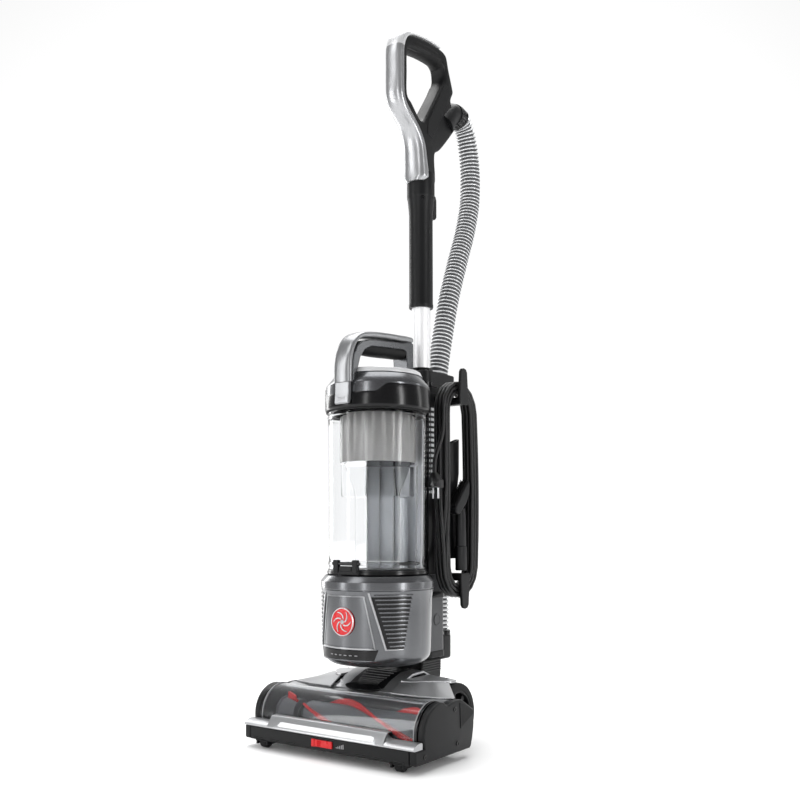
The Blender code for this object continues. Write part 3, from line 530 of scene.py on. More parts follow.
def reel_turn(layer, share):
    """A point of one turn of the winding, from the foot of its front run and up the front."""
    radius = REEL_HALF - CORD_R * (5 - 2 * layer)
    low, high = REEL_LOW + REEL_HALF, REEL_HIGH - REEL_HALF
    straight = high - low
    total = 2 * straight + ROUND * radius
    s = share * total
    if s < straight:
        return REEL_Y - radius, low + s
    s -= straight
    if s < math.pi * radius:
        a = math.pi - s / radius
        return REEL_Y + radius * math.cos(a), high + radius * math.sin(a)
    s -= math.pi * radius
    if s < straight:
        return REEL_Y + radius, high - s
    a = -(s - straight) / radius
    return REEL_Y + radius * math.cos(a), low + radius * math.sin(a)


def cord_points():
    """Down the lead, round nine turns between the hooks, and off the front run into the plug."""
    start = mm3(42.4, 69, 334.6, 42.4, 69, 315, 44, 66.8, 296, 48, 60, 278, 52.6, 55, 264)
    points = smooth(start, 5)
    columns = [-1, 0, 1, 1, 0, -1, -1, 0, 1]
    per_turn = 44
    for turn, column in enumerate(columns):
        last = turn == len(columns) - 1
        after = turn if last else turn + 1
        for step in range(1, per_turn + 1):
            share = step / per_turn
            ease = max(0.0, (share - 0.84) / 0.16)
            ease = ease * ease * (3 - 2 * ease)
            x = column + (columns[after] - column) * ease
            y, z = reel_turn(turn // 3 + (after // 3 - turn // 3) * ease, 1 - share)
            if last and y < REEL_Y and z < 0.495 and share > 0.5:
                break
            height = (z - REEL_LOW) / (REEL_HIGH - REEL_LOW)
            y += REEL_BOW * max(0.0, (y - REEL_Y) / REEL_HALF) * math.sin(math.pi * height)
            points.append((REEL_X + x * 2 * CORD_R, y, z))
    end = [points[-1], (0.0663, 0.0385, 0.472), (0.0635, 0.0315, 0.452), (0.0607, 0.0258, 0.432),
           (0.06, 0.0245, 0.4112)]
    return [tuple(p) for p in points[:-1] + smooth(end, 5)]


def make_cord():
    points = cord_points()
    curve = bpy.data.curves.new("mains_cord", "CURVE")
    curve.dimensions = "3D"
    spline = curve.splines.new("POLY")
    spline.points.add(len(points) - 1)
    for item, p in zip(spline.points, points):
        item.co = (p[0], p[1] + SHIFT, p[2], 1)
    curve.bevel_depth = CORD_R
    curve.bevel_resolution = 3
    curve.use_fill_caps = True
    curve.materials.append(M["cord"])
    obj = add_object("mains_cord", curve)
    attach(obj, "upright")
    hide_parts("cord_winding", "cord_lead")
    return obj, points


CORD, CORD_PATH = make_cord()


def hose_path(spacing):
    points = [
        (0, HOSE_Y, 0.1503), (0, HOSE_Y, 0.26), (0, HOSE_Y, 0.37), (0, HOSE_Y, 0.48),
        (0, HOSE_Y, 0.575), (0, 0.13, 0.605), (0, 0.143, 0.656), (0, 0.164, 0.7269),
        (0, 0.1957, 0.8057), (0, 0.219, 0.86), (0, 0.236, 0.9157), (0, 0.24, 0.96),
        (0, 0.2385, 0.995), (0, 0.231, 1.03), (0, 0.22, 1.056), (0, 0.206, 1.069), (0, 0.19, 1.0715),
    ]
    fine = smooth(points, 20)
    lengths = [0.0]
    for a, b in zip(fine, fine[1:]):
        lengths.append(lengths[-1] + (b - a).length)
    count = round(lengths[-1] / spacing)
    out = []
    index = 0
    for step in range(count + 1):
        target = lengths[-1] * step / count
        while index < len(fine) - 2 and lengths[index + 1] < target:
            index += 1
        t = (target - lengths[index]) / (lengths[index + 1] - lengths[index])
        out.append(fine[index].lerp(fine[index + 1], min(1.0, t)))
    return out, lengths[-1]


def make_hose():
    per_rib = 6
    path, length = hose_path(0.007 / per_rib)
    shape = (0.0, 0.2, 0.88, 1.0, 0.88, 0.2)
    deep = 0.0036

    def section(i, share):
        radius = HOSE_R - deep * (1 - shape[i % per_rib])
        return oval(radius, radius, count=24)

    # The grooves between the ribs take the dark grey: painted shade in the creases.
    obj = sweep("ribbed_hose", path, section, "hose", None, ["suction_hose"], 80, False, ("hose_groove_shade",),
                lambda i: 1 if i % per_rib in (0, 1, 5) else 0)
    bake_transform(obj)
    return obj, [(p.x, p.y + SHIFT, p.z) for p in path], length


HOSE, HOSE_PATH, HOSE_LENGTH = make_hose()


# Floor head

CAP_IN = 0.1438
CAP_OUT = 0.1565


def window_band(outer, inner, start, end, count=28):
    """A band round the brush, between two radii and two angles."""
    outside, inside = (arc((BRUSH_Y, BRUSH_Z), r, start, end, count) for r in (outer, inner))
    return outside + inside[::-1]


def roll_angle(row, x):
    """Where one of the three spirals of the brush roll stands at x."""
    return ROUND * row / 3 + 17.0 * (x + 0.121) - 0.5


def make_tray():
    """Front tray with a shadow groove and lines, the silver bumper, its lens and the slider."""
    body = "floor_head"
    front = mm2(-164, 12, -165.8, 13.5, -166, 29.5, -165, 30.6, -150, 31, -150, 28.5, -161.5, 27.5,
                -161.5, 15, -150, 14.5, -150, 12)
    prism("tray_front", "x", -0.1436, 0.1436, front, "black", body, bevel=0.0008)
    ribs = [((x - 0.009, -0.1664, low), (x + 0.009, back, high))
            for x in (-0.128, -0.096, -0.064, 0.064, 0.096, 0.128)
            for low, high, back in ((0.0155, 0.0162, -0.1658), (0.0128, 0.0136, -0.1655))]
    boxes("tray_lines", ribs, "gloss", body, bevel=0.0002)
    # Silver bumper: low corners, a raised middle and a sloping top.
    bm = bmesh.new()
    stations = mm2(-153.5, 40, -126, 40, -108, 40.5, -98.5, 47, -94, 49, 90, 49, 96, 47, 106, 40.5, 126, 40,
                   153.5, 40)
    rings = []
    for x, top in smooth(stations, 4):
        lift = (top - 0.04) / 0.009
        ring = [(-0.166, 0.0312), (-0.1698, 0.0322), (-0.17, 0.034 + 0.0005 * lift),
                (-0.166, 0.0372 + 0.003 * lift), (-0.16, top - 0.0008), (-0.157, top),
                (-0.15, top + 0.0002), (-0.1478, top - 0.0012), (-0.1478, 0.0312)]
        rings.append([bm.verts.new((x, y, z)) for y, z in ring])
    bridge(bm, rings)
    piece("bumper_silver", bm, "silver", body, ["front_bumper"], bevel=0.0009, sharp=40)
    # The frosted lens runs along the bumper's face.
    bm = bmesh.new()
    rings = []
    for x in [-0.0955 + 0.191 * k / 40 for k in range(41)]:
        tip = min(1.0, (0.0957 - abs(x)) / 0.01)
        ring = [(-0.1704, 0.0336), (-0.1664, 0.0336 + 0.0066 * tip), (-0.1618, 0.0336 + 0.0116 * tip),
                (-0.16, 0.0336 + 0.0104 * tip), (-0.165, 0.033)]
        rings.append([bm.verts.new((x, y, z)) for y, z in ring])
    bridge(bm, rings)
    piece("lens_frosted", bm, "white", body, ["light_lens"], bevel=0.0005, sharp=40)
    # Red slider with grip ribs.
    bm = bmesh.new()
    add_box(bm, (-0.022, -0.168, 0.0172), (0.0142, -0.1652, 0.0268))
    add_box(bm, (-0.0225, -0.169, 0.0168), (-0.0175, -0.1655, 0.0272))
    for k in range(3):
        x = -0.012 + 0.0022 * k
        add_box(bm, (x, -0.1688, 0.018), (x + 0.0009, -0.1655, 0.026))
    piece("slider_red", bm, "red", "debris_slider", ["debris_slider"], bevel=0.0005)
    marks = [((0.0205 + 0.003 * k, -0.1664, 0.019), (0.022 + 0.003 * k, -0.1659, 0.0205 + 0.0012 * k))
             for k in range(5)]
    boxes("slider_marks", marks, "pcb", body, bevel=0.0002)


def make_side_caps():
    """Side caps: pillowed end plates with an arch, a notch and a leaning back."""
    body = "floor_head"
    outline = mm2(-164, 12, -166, 14, -166, 30.8)
    outline += arc((BRUSH_Y, BRUSH_Z), 0.041, 200, 76, 16)
    outline += mm2(-91.5, 81.5, -88, 79.8, -84.5, 80.6, -78, 82, -66, 83, -56, 83, -49, 82, -44, 79,
                   -20, 65.5, -17.6, 62.5, -17.6, 56, -19, 40, -22.5, 26, -26.5, 15, -30, 12)
    for side, name in SIDES:
        middle = side * (CAP_IN + CAP_OUT) / 2
        pillow("cap_" + name, (CAP_OUT - CAP_IN) / 2 - 0.0006, [outline], 0.0028, "black", body,
               ["side_cap_" + name], middle=middle - side * 0.0004)
        face = side * (CAP_OUT - 0.0012)
        dark = mm2(-56, 78.5, -48, 77, -21.5, 63, -21.5, 59, -56, 44)
        prism("cap_recess_" + name, "x", face, side * (CAP_OUT - 0.00035), dark, "soft", body, bevel=0.0005)
        fold = mm2(-57.5, 79, -56, 79, -54.5, 43.5, -56, 43.5)
        prism("cap_fold_" + name, "x", face, side * (CAP_OUT - 0.0001), fold, "black", body, bevel=0.0003)
        bm = bmesh.new()
        for y, z in mm2(-145, 21.5, -64, 24.5, -70, 72):
            screw = mm2(3.4, 0, 3.4, 1, 2.2, 1, 1.8, 0.3, 0, 0.3)
            add_lathe(bm, [(r, side * (CAP_OUT - 0.0011 + h)) for r, h in screw], (y, z), 20, along="x")
        piece("cap_screws_" + name, bm, "gloss", body)
        # Dark band and clear-window rim where the cap meets the dome.
        band = window_band(0.0418, 0.0385, 205, 70)
        for rim, outer, inner, kind, bevel in (("band", 0.0002, 0.004, "gloss", 0.0006),
                                               ("rim", 0.0046, 0.0062, "pcb", 0.0004)):
            prism("dome_" + rim + "_" + name, "x", side * (CAP_IN - inner), side * (CAP_IN - outer), band,
                  kind, body, bevel=bevel)


def make_window():
    """Clear dome over the brush, and the chamber behind it."""
    body = "floor_head"
    band = window_band(0.0408, 0.0388, 203, 68, 36)
    prism("dome_clear", "x", -0.1378, 0.1378, band, "smoke", body, ["brush_window"], bevel=0)
    band = window_band(0.0378, 0.0368, 60, -25, 18)
    prism("chamber_liner", "x", -0.14, 0.14, band, "core", body, bevel=0)


def make_top_cover():
    """Silver top cover: a smooth skin with a raised spine towards the neck."""
    body = "floor_head"
    bm = bmesh.new()
    columns = 48
    rows = 16
    tops = []
    for c in range(columns + 1):
        x = -0.1434 + 0.2868 * c / columns
        near = max(0.0, 1 - abs(x) / 0.105)
        line = []
        for r in range(rows + 1):
            s = r / rows
            y = -0.0895 + s * (0.069 if abs(x) < 0.0895 else 0.045)
            z = 0.0795 + 0.0045 * math.sin(math.pi * min(1.0, s * 1.15)) - 0.0085 * s ** 3
            z += 0.019 * near ** 1.3 * math.sin(math.pi * min(1.0, 0.08 + s * 0.95)) * s ** 0.6
            line.append((x, y, z))
        tops.append(line)
    shell(bm, *([[bm.verts.new((x, y, z - deep)) for x, y, z in line] for line in tops]
                for deep in (0, 0.0018)))
    piece("top_cover", bm, "silver", body, ["head_cover"], sharp=50)


def make_duct_hood():
    """Silver duct hood up to the neck, with a ribbed black inset."""
    body = "floor_head"
    hump = mm2(-80, 85, -56, 97.5, -30, 106.8, 0, 108, 18, 100, 18, 97, 0, 104.5, -29, 102.5, -55, 93.5,
               -73.5, 84)
    prism("duct_hood", "x", -0.056, 0.056, hump, "silver", body, ["duct_cover"], bevel=0.0022)
    inset = mm2(-73, 89.3, -56, 97.9, -30, 107.3, 0, 108.6, 18.5, 100.6, 18, 99, 0, 107.5, -30, 106.2,
                -55.5, 96.8, -72.5, 88.3)
    prism("duct_inset", "x", -0.033, 0.033, inset, "black", body, bevel=0.0006)
    bm = bmesh.new()
    route = smooth(mm2(-70, 91, -56, 97.6, -30, 107, 0, 108.2), 8)
    for k, p in enumerate(route):
        if k % 2:
            continue
        wide = 0.018 + 0.015 * k / len(route)
        add_box(bm, (-wide, p.x - 0.0012, p.y - 0.001), (wide, p.x + 0.0012, p.y + 0.0016))
    piece("duct_ribs", bm, "gloss", body, bevel=0.0005)
    # Oval plate in front of the ribs.
    hole = oval(0.0295, 0.0062, count=40)
    bm = bmesh.new()
    add_prism(bm, "z", -0.001, 0.0012, [oval(0.033, 0.0085, count=40), hole[::-1]])
    add_prism(bm, "z", -0.001, 0.0004, [hole])
    bm.transform(Matrix.Translation((0, -0.079, 0.0895)) @ Matrix.Rotation(math.radians(30), 4, "X"))
    piece("oval_plate", bm, "gloss", body, bevel=0.0003)


def make_wings():
    """Silver wings beside the duct, over the wheels."""
    body = "floor_head"
    for side, name in SIDES:
        outline = mm2(56.5, -62, 70, -56, 90, -30, 108.5, -10, 111.5, 0, 109, 8.5, 95, 10.5, 56.5, 10.5)
        bm = bmesh.new()
        add_prism(bm, "z", 0.0965, 0.1, [[(side * x, y) for x, y in outline][::side]])
        for vert in bm.verts:
            vert.co.z += 0.0035 * (1 - (abs(vert.co.x) - 0.0565) / 0.055) - 0.002
        piece("wing_" + name, bm, "silver", body, ["cover_wing_" + name], bevel=0.001)
        dots = [((side * x - 0.0012, 0.0035, 0.0978), (side * x + 0.0012, 0.006, 0.0996))
                for x in (0.08, 0.094)]
        boxes("wing_dots_" + name, dots, "gloss", body, bevel=0.0003)

        # A faceted skirt from the wing down to the brush window.
        top = mm3(56, -64, 99, 70, -57.5, 99, 90, -31.5, 98, 108.5, -11.5, 96.5)
        foot = mm3(56, -86, 86.8, 100, -82, 86.2, 139, -70, 85.8, 140.5, -47, 83.8)
        bm = bmesh.new()
        shell(bm, *([[bm.verts.new((side * x, y, z - deep)) for x, y, z in line] for line in (top, foot)]
                    for deep in (0, 0.0022)))
        piece("wing_skirt_" + name, bm, "silver", body, sharp=12, bevel=0.0006)


def make_brush_roll():
    """Brush roll: a dark core with a groove for the belt, three spirals of tufts and three strips."""
    core = mm2(0, -135, 6, -135, 6, -129, 22.5, -128, 22.5, -125.5, 20.5, -125, 20.5, -94.5, 11.5, -94,
               11.5, -76, 20.5, -75.5, 20.5, 125, 22.5, 125.5, 22.5, 128, 6, 129, 6, 135, 0, 135)
    lathe("roll_core", core, (BRUSH_Y, BRUSH_Z), "core", "brush_roll", ["brush_roll"], 40, along="x",
          sharp=35)
    bm = bmesh.new()
    tufts = 86
    for row in range(3):
        for k in range(tufts):
            x = -0.121 + 0.242 * k / (tufts - 1)
            if abs(x - BELT_X) < BELT_GAP:
                continue
            angle = roll_angle(row, x)
            radial = Vector((0, math.cos(angle), math.sin(angle)))
            side = Vector((0, -math.sin(angle), math.cos(angle)))
            base = Vector((x, BRUSH_Y, BRUSH_Z)) + radial * 0.0195
            lean = side * random.uniform(-0.0006, 0.0006)
            tip = Vector((x, BRUSH_Y, BRUSH_Z)) + radial * random.uniform(0.0285, 0.0297) + lean
            low, high = [], []
            for j in range(6):
                a = ROUND * j / 6
                spread = Vector((0.0013 * math.cos(a), 0, 0)) + side * (0.0014 * math.sin(a))
                low.append(bm.verts.new(base + spread * 0.9))
                high.append(bm.verts.new(tip + spread * 1.15))
            bridge(bm, (low, high))
    piece("roll_bristles", bm, "bristle", "brush_roll", sharp=40)
    bm = bmesh.new()
    spans = [(row, *span) for row in range(3) for span in ((-0.1225, -0.095, 14), (-0.075, 0.1225, 98))]
    for row, left, right, steps in spans:
        rings = []
        for k in range(steps + 1):
            x = left + (right - left) * k / steps
            angle = roll_angle(row, x)
            ring = []
            for da, r in ((-0.12, 0.02), (-0.09, 0.0218), (0.09, 0.0218), (0.12, 0.02)):
                turn = angle + da
                ring.append(bm.verts.new((x, BRUSH_Y + r * math.cos(turn), BRUSH_Z + r * math.sin(turn))))
            rings.append(ring)
        bridge(bm, rings)
    piece("roll_strips", bm, "red", "brush_roll", sharp=40)


def make_wheels():
    for side, name in SIDES:
        middle = side * WHEEL_X
        bm = bmesh.new()
        tyre = mm2(36, -10.4, 44, -10.4, 46.2, -8.9, 47, -6.4, 47, -1.2, 46.2, -0.6, 46.2, 0.6, 47, 1.2,
                   47, 6.4, 46.2, 8.9, 44, 10.4, 36, 10.4)
        add_lathe(bm, tyre, (WHEEL_Y, WHEEL_R), 72, True, "x", at=middle)
        piece("tyre_" + name, bm, "rubber", "rear_wheel_" + name, ["rear_wheel_" + name])
        bm = bmesh.new()
        rim = mm2(35.8, -9, 36.2, -9.8, 33, -10, 32.2, -8, 32.2, 8, 33, 10, 36.2, 9.8, 35.8, 9)
        add_lathe(bm, rim, (WHEEL_Y, WHEEL_R), 64, True, "x", at=middle)
        hub = mm2(0, -9.5, 8.5, -9.5, 10.5, -7.5, 10.5, 7.5, 8.5, 9.5, 0, 9.5)
        add_lathe(bm, hub, (WHEEL_Y, WHEEL_R), 40, along="x", at=middle)
        for k in range(7):
            a = ROUND * k / 7
            rad, tan = Vector((0, math.cos(a), math.sin(a))), Vector((0, -math.sin(a), math.cos(a)))
            centre = Vector((middle, WHEEL_Y, WHEEL_R))
            bridge(bm, [[bm.verts.new(centre + rad * r + tan * (w * s) + Vector((x, 0, 0)))
                         for x, s in mm2(-6.2, -1000, -6.2, 1000, 6.2, 1000, 6.2, -1000)]
                        for r, w in ((0.0098, 0.005), (0.0328, 0.0034))])
        piece("wheel_hub_" + name, bm, "black", "rear_wheel_" + name, bevel=0.0007)
        roller = mm2(0, -7, 6, -7, 8, -5.5, 8, 5.5, 6, 7, 0, 7)
        low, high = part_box("front_roller_" + name)
        cx, cy, cz = (low.x + high.x) / 2, (low.y + high.y) / 2 - SHIFT, (low.z + high.z) / 2
        bm = bmesh.new()
        add_lathe(bm, roller, (cy, cz), 36, along="x", at=cx)
        piece("roller_" + name, bm, "rubber", "front_roller_" + name, ["front_roller_" + name], bevel=0.0006)
        forks = [((cx - 0.0115, cy - 0.01, 0.0055), (cx - 0.008, cy + 0.01, 0.0135)),
                 ((cx + 0.008, cy - 0.01, 0.0055), (cx + 0.0115, cy + 0.01, 0.0135)),
                 ((cx - 0.0115, cy - 0.0115, 0.0105), (cx + 0.0115, cy - 0.0095, 0.015))]
        boxes("roller_fork_" + name, forks, "black", "floor_head", bevel=0.001)


make_tray()
make_side_caps()
make_window()
make_top_cover()
make_duct_hood()
make_wings()
make_brush_roll()
make_wheels()


# Motor housing, neck, spine and what they carry

def make_housing():
    """Turned shell with its front panel and foot plate."""
    body = "upright"
    profile = mm2(0, 122, 56, 124, 74, 130, 78.5, 138, 81, 240, 79, 252.6, 79.5, 253.2, 80.2, 253,
                  86.2, 245.2, 86.6, 244.4, 86.6, 234.5, 86.3, 233.8, 85.4, 233.4, 85.4, 232.6, 86, 232,
                  85, 229)
    profile += [(housing_radius(z), z) for z in (0.22, 0.2, 0.18, 0.16, 0.144)]
    profile += mm2(81.2, 138, 80, 133.5, 77.8, 130, 74, 126.2, 68, 123.2, 58, 121.2, 30, 119.5, 0, 119)
    lathe("housing_shell", profile, (0, CUP_Y), "gun", body, ["motor_housing"], steps=128, sharp=22)

    def skin(name, items, kind, sharp=35, bevel=0.0):
        bm = bmesh.new()
        for low, high, out in items:
            curved_patch(bm, 4, 24, low, high, out)
        piece(name, bm, kind, body, sharp=sharp, bevel=bevel)

    # Front panel: a raised plate whose bright edge shows at its top and slanting sides.
    bm = bmesh.new()
    curved_patch(bm, 1, 20, (0.224, -114, -66), (0.2255, -113, -67), 0.0016)
    for angle in (-114.2, -67.4):
        lean = 11.5 if angle > -90 else -11.5
        curved_patch(bm, 8, 2, (0.147, angle + lean, angle + lean + 1.6), (0.225, angle, angle + 1.6), 0.0016)
    piece("panel_edge", bm, "satin", body, bevel=0.0003)
    skin("panel_front", [((0.147, -124.0, -56.0), (0.2245, -113.0, -67.0), 0.001)], "gun", bevel=0.0004)
    # A black foot plate without lettering, under a bright lip.
    skin("foot_edge", [((0.149, -126, -54), (0.1515, -121, -59), 0.0036)], "silver", bevel=0.0006)
    skin("foot_plate", [((0.1345, -124, -56), (0.1485, -128, -52), 0.003)], "gloss", bevel=0.0006)
    skin("foot_lip", [((0.1325, -121, -59), (0.1345, -124, -56), 0.0032)], "gun", bevel=0.0005)
    dashes = [((0.14, -106 + 6 * k, -103 + 6 * k), (0.1412, -106 + 6 * k, -103 + 6 * k), 0.0034)
              for k in range(6)]
    skin("foot_dashes", dashes, "pcb")


def make_vents():
    """Exhaust vents left and right: a dark recess, slats, and a bright slanted edge towards the front."""
    body = "upright"
    for side, name in SIDES[::-1]:
        def turned(low, high, side=side):
            """The two angles, mirrored for the left vent, in rising order."""
            return sorted((low, high)) if side > 0 else sorted((-180 - low, -180 - high))

        bm = bmesh.new()
        curved_patch(bm, 4, 24, (0.15, *turned(-44, -25)), (0.2285, *turned(-61, -16)), 0.0006)
        piece("vent_recess_" + name, bm, "gloss", body, ["exhaust_grille"] if side > 0 else [], bevel=0.0002)
        bm = bmesh.new()
        curved_patch(bm, 8, 3, (0.149, *turned(-45.5, -43.6)), (0.23, *turned(-62.8, -60.8)), 0.0022)
        curved_patch(bm, 1, 16, (0.1482, *turned(-45.5, -26)), (0.15, *turned(-44.8, -25.6)), 0.0018)
        piece("vent_edge_" + name, bm, "silver", body, bevel=0.0004, segments=2)
        bm = bmesh.new()
        count = 13
        for k in range(count):
            z = 0.1545 + 0.072 * k / (count - 1)
            s = (z - 0.15) / 0.0785
            a, b = -44 - 17 * s, -25 + 9 * s
            slat = turned(a + 4.0, b + 1.0)
            curved_patch(bm, 1, 20, (z - 0.0016, *slat), (z + 0.001, *slat), 0.0024, 0.0008)
        piece("vent_slats_" + name, bm, "gun", body, bevel=0.0004, segments=2)


def make_emblem():
    """A plain round emblem of six curved vanes."""
    body = "upright"
    middle = Matrix.Translation((0, CUP_Y - housing_radius(0.188) - 0.0012, 0.188))
    face = middle @ Matrix.Rotation(math.radians(90), 4, "X")
    bm = bmesh.new()
    ring = mm2(0, -1, 20.5, -1, 20.8, 0.4, 20, 1.4, 18.8, 1.4, 18.4, 0.8, 0, 1.2)
    add_lathe(bm, ring, (0, 0), 64)
    bm.transform(face)
    piece("emblem_disc", bm, "red", body)
    bm = bmesh.new()
    add_lathe(bm, mm2(18.6, 0.6, 19, 1.7, 20.1, 1.7, 20.6, 0.6), (0, 0), 64, ring=True)
    bm.transform(face)
    piece("emblem_ring", bm, "silver", body)
    bm = bmesh.new()
    for vane in range(6):
        inner, outer = [], []
        for k in range(9):
            r = 0.0045 + 0.0115 * k / 8
            a = ROUND * vane / 6 + 1.1 * k / 8
            half = 0.16 * (1 - 0.75 * k / 8)
            inner.append((r * math.cos(a - half), r * math.sin(a - half)))
            outer.append((r * math.cos(a + half), r * math.sin(a + half)))
        add_prism(bm, "z", 0.0009, 0.0019, [inner + outer[::-1]])
    add_lathe(bm, mm2(0, 0.8, 3.2, 0.8, 3.2, 1.8, 2.2, 2.4, 0, 2.6), (0, 0), 32)
    bm.transform(face)
    piece("emblem_vanes", bm, "silver", body, sharp=30)


def make_neck():
    """Neck with ribs and trunnions."""
    body = "upright"
    outline = arc((0.05, 0.062), 0.026, 165, 360, 20)
    outline += mm2(78, 72, 88, 88, 90, 118, 36, 118, 30, 96)
    prism("neck_shell", "x", -0.03, 0.03, outline, "black", body, ["neck"], bevel=0.0035, segments=4)
    boxes("neck_ribs", [((-0.0308, 0.035, 0.098 + 0.0038 * k), (0.0308, 0.087, 0.0998 + 0.0038 * k))
                        for k in range(5)], "gloss", body, bevel=0.0006)
    bm = bmesh.new()
    for side in (-1, 1):
        x = [side * v for v in (0.029, 0.044, 0.05, 0.054, 0.056)]
        r = (0.017, 0.0165, 0.0145, 0.009, 0.0)
        add_lathe(bm, [(0.0, x[0])] + list(zip(r, x)), (0.05, 0.062), 48, along="x")
        add_lathe(bm, [(0.0182, side * 0.033), (0.0182, side * 0.037), (0.016, side * 0.037),
                       (0.016, side * 0.033)], (0.05, 0.062), 48, ring=True, along="x")
    piece("neck_trunnions", bm, "black", body)


def make_duct():
    """Duct behind the housing, with a collar and a round boss."""
    body = "upright"
    for name, low, high, half, front, back, r, kind, nodes, bevel in (
            ("duct_rear", 0.1183, 0.25, 0.033, 0.045, 0.0985, 0.012, "grey", ["lower_duct"], 0.001),
            ("duct_collar", 0.212, 0.2225, 0.0345, 0.0436, 0.1, 0.013, "gloss", [], 0.0012),
            ("duct_foot", 0.1185, 0.129, 0.0342, 0.044, 0.0995, 0.013, "black", [], 0.0015)):
        prism(name, "z", low, high, box_outline(-half, front, half, back, r), kind, body, nodes, bevel)
    bm = bmesh.new()
    for side in (-1, 1):
        ring = mm2(0, 32.5, 9.5, 32.5, 9.5, 34, 8, 34.3, 7.2, 33.6, 0, 33.6)
        add_lathe(bm, [(r, side * x) for r, x in ring], (0.072, 0.178), 40, along="x")
    piece("duct_bosses", bm, "grey", body)


def make_spine():
    """Spine: an open channel with ribs and edge beads."""
    body = "upright"
    front, back, half, wall = 0.045, 0.1035, 0.035, 0.003
    channel = [(-half, front), (half, front), (half, back), (half - wall, back), (half - wall, front + wall),
               (-half + wall, front + wall), (-half + wall, back), (-half, back)]
    prism("spine_channel", "z", 0.2503, 0.544, channel, "black", body, ["spine"], bevel=0.0012)
    items = [((side * 0.0346, front, z), (side * 0.0359, back, z + high))
             for z in (0.38 + 0.0084 * k for k in range(17)) for side in (-1, 1)
             for front, back, high in ((0.053, 0.061, 0.0046), (0.0475, 0.05, 0.004))]
    boxes("spine_rack", items, "white", body, bevel=0.0004)
    items = [((side * 0.0348, front, 0.256), (side * 0.0358, back, 0.538))
             for side in (-1, 1) for front, back in ((0.064, 0.0665), (0.095, 0.0985))]
    boxes("spine_beads", items, "gloss", body, bevel=0.0005)


def make_tube():
    """Bright tube, its bracket and the hose elbow."""
    body = "upright"
    tube = mm2(15.5, 855, 15.5, 586, 15.5, 470, 14.3, 470, 14.3, 855)
    lathe("tube_bright", tube, (0, TUBE_Y), "bright", body, ["metal_tube"], steps=72, ring=True)
    outline = box_outline(-0.027, 0.052, 0.027, 0.148, 0.016)
    holes = [[(x, middle - y) for x, y in oval(radius, radius, count=36)]
             for middle, radius in ((TUBE_Y, 0.0159), (HOSE_Y, 0.0203))]
    prism("bracket_body", "z", 0.5443, 0.583, [outline] + holes, "black", body, ["hose_bracket"],
          bevel=0.0018)
    outline = box_outline(-0.028, 0.051, 0.028, 0.149, 0.0168)
    prism("bracket_band", "z", 0.556, 0.564, [outline] + holes, "gloss", body, bevel=0.0008)
    collar = mm2(15.8, 583, 15.8, 590, 17.8, 589.5, 19, 587, 19.2, 582.8)
    lathe("bracket_collar", collar, (0, TUBE_Y), "gloss", body, steps=60, ring=True)
    prism("elbow_shell", "z", 0.11, 0.15, box_outline(-0.0195, 0.0988, 0.0195, 0.1455, 0.017), "black",
          body, ["hose_elbow"], bevel=0.004, segments=4)
    collar = mm2(17.2, 148, 17.2, 156, 19.8, 155.6, 20.4, 154, 20.4, 148)
    lathe("elbow_collar", collar, (0, HOSE_Y), "gloss", body, steps=48, ring=True)
    switch = pairs(-39.3, 66.2, 485.5, -35.3, 81.8, 494, -38.9, 66.2, 494, -35.3, 81.8, 504.5,
                   -39.6, 67.5, 498.5, -35.6, 80.5, 499.7)
    boxes("switch_red", switch, "red", "power_switch", ["power_switch"], bevel=0.0009)


def make_pedal():
    """Pedal with its treads."""
    low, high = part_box("release_pedal")
    outline = arc((0.04, 0.044), 0.006, 90, 270, 12)
    outline += mm2(64, 38.5, 78, 43, 78.2, 45.5, 77, 48, 64, 48)
    prism("pedal_body", "x", low.x, high.x, outline, "black", "release_pedal", ["release_pedal"],
          bevel=0.0012)
    treads = [((low.x + 0.002, y, 0.0476), (high.x - 0.002, y + 0.0016, 0.0488))
              for y in (0.06, 0.0636, 0.0672, 0.0708, 0.0744)]
    boxes("pedal_treads", treads, "rubber", "release_pedal", bevel=0.0005)


def make_hooks():
    """A straight arm and an upright fin for each cord hook."""
    span = 6 * CORD_R + 0.0068
    for name, low_fin, high_fin, z0, body, node in (
            ("lower", 0.196, REEL_LOW + span + 0.012, REEL_LOW + span, "upright", "cord_hook_lower"),
            ("upper", 0.585, REEL_HIGH - span - 0.012, REEL_HIGH - span - 0.012, "cord_hook_upper",
             "cord_hook_upper")):
        bm = bmesh.new()
        arm = [(0.08, z0 + 0.003), (0.083, z0), (0.097, z0), (0.1, z0 + 0.003), (0.1, z0 + 0.009),
               (0.097, z0 + 0.012), (0.083, z0 + 0.012), (0.08, z0 + 0.009)]
        add_prism(bm, "x", 0.0353, 0.0735, [arm])
        way = 1 if high_fin > low_fin else -1
        # The fin's outline: half of it by its distance from the middle, then the other half.
        edge = [(0.0125, high_fin), (0.013, high_fin - way * 0.012), (0.0095, low_fin + way * 0.006),
                (0.006, low_fin + way * 0.0012), (0.0, low_fin)]
        fin = [(0.09 + y, z) for y, z in edge] + [(0.09 - y, z) for y, z in edge[-2::-1]]
        add_prism(bm, "x", 0.0712, 0.0765, [fin[::way]])
        piece("hook_" + name, bm, "black", body, [node], bevel=0.0014)


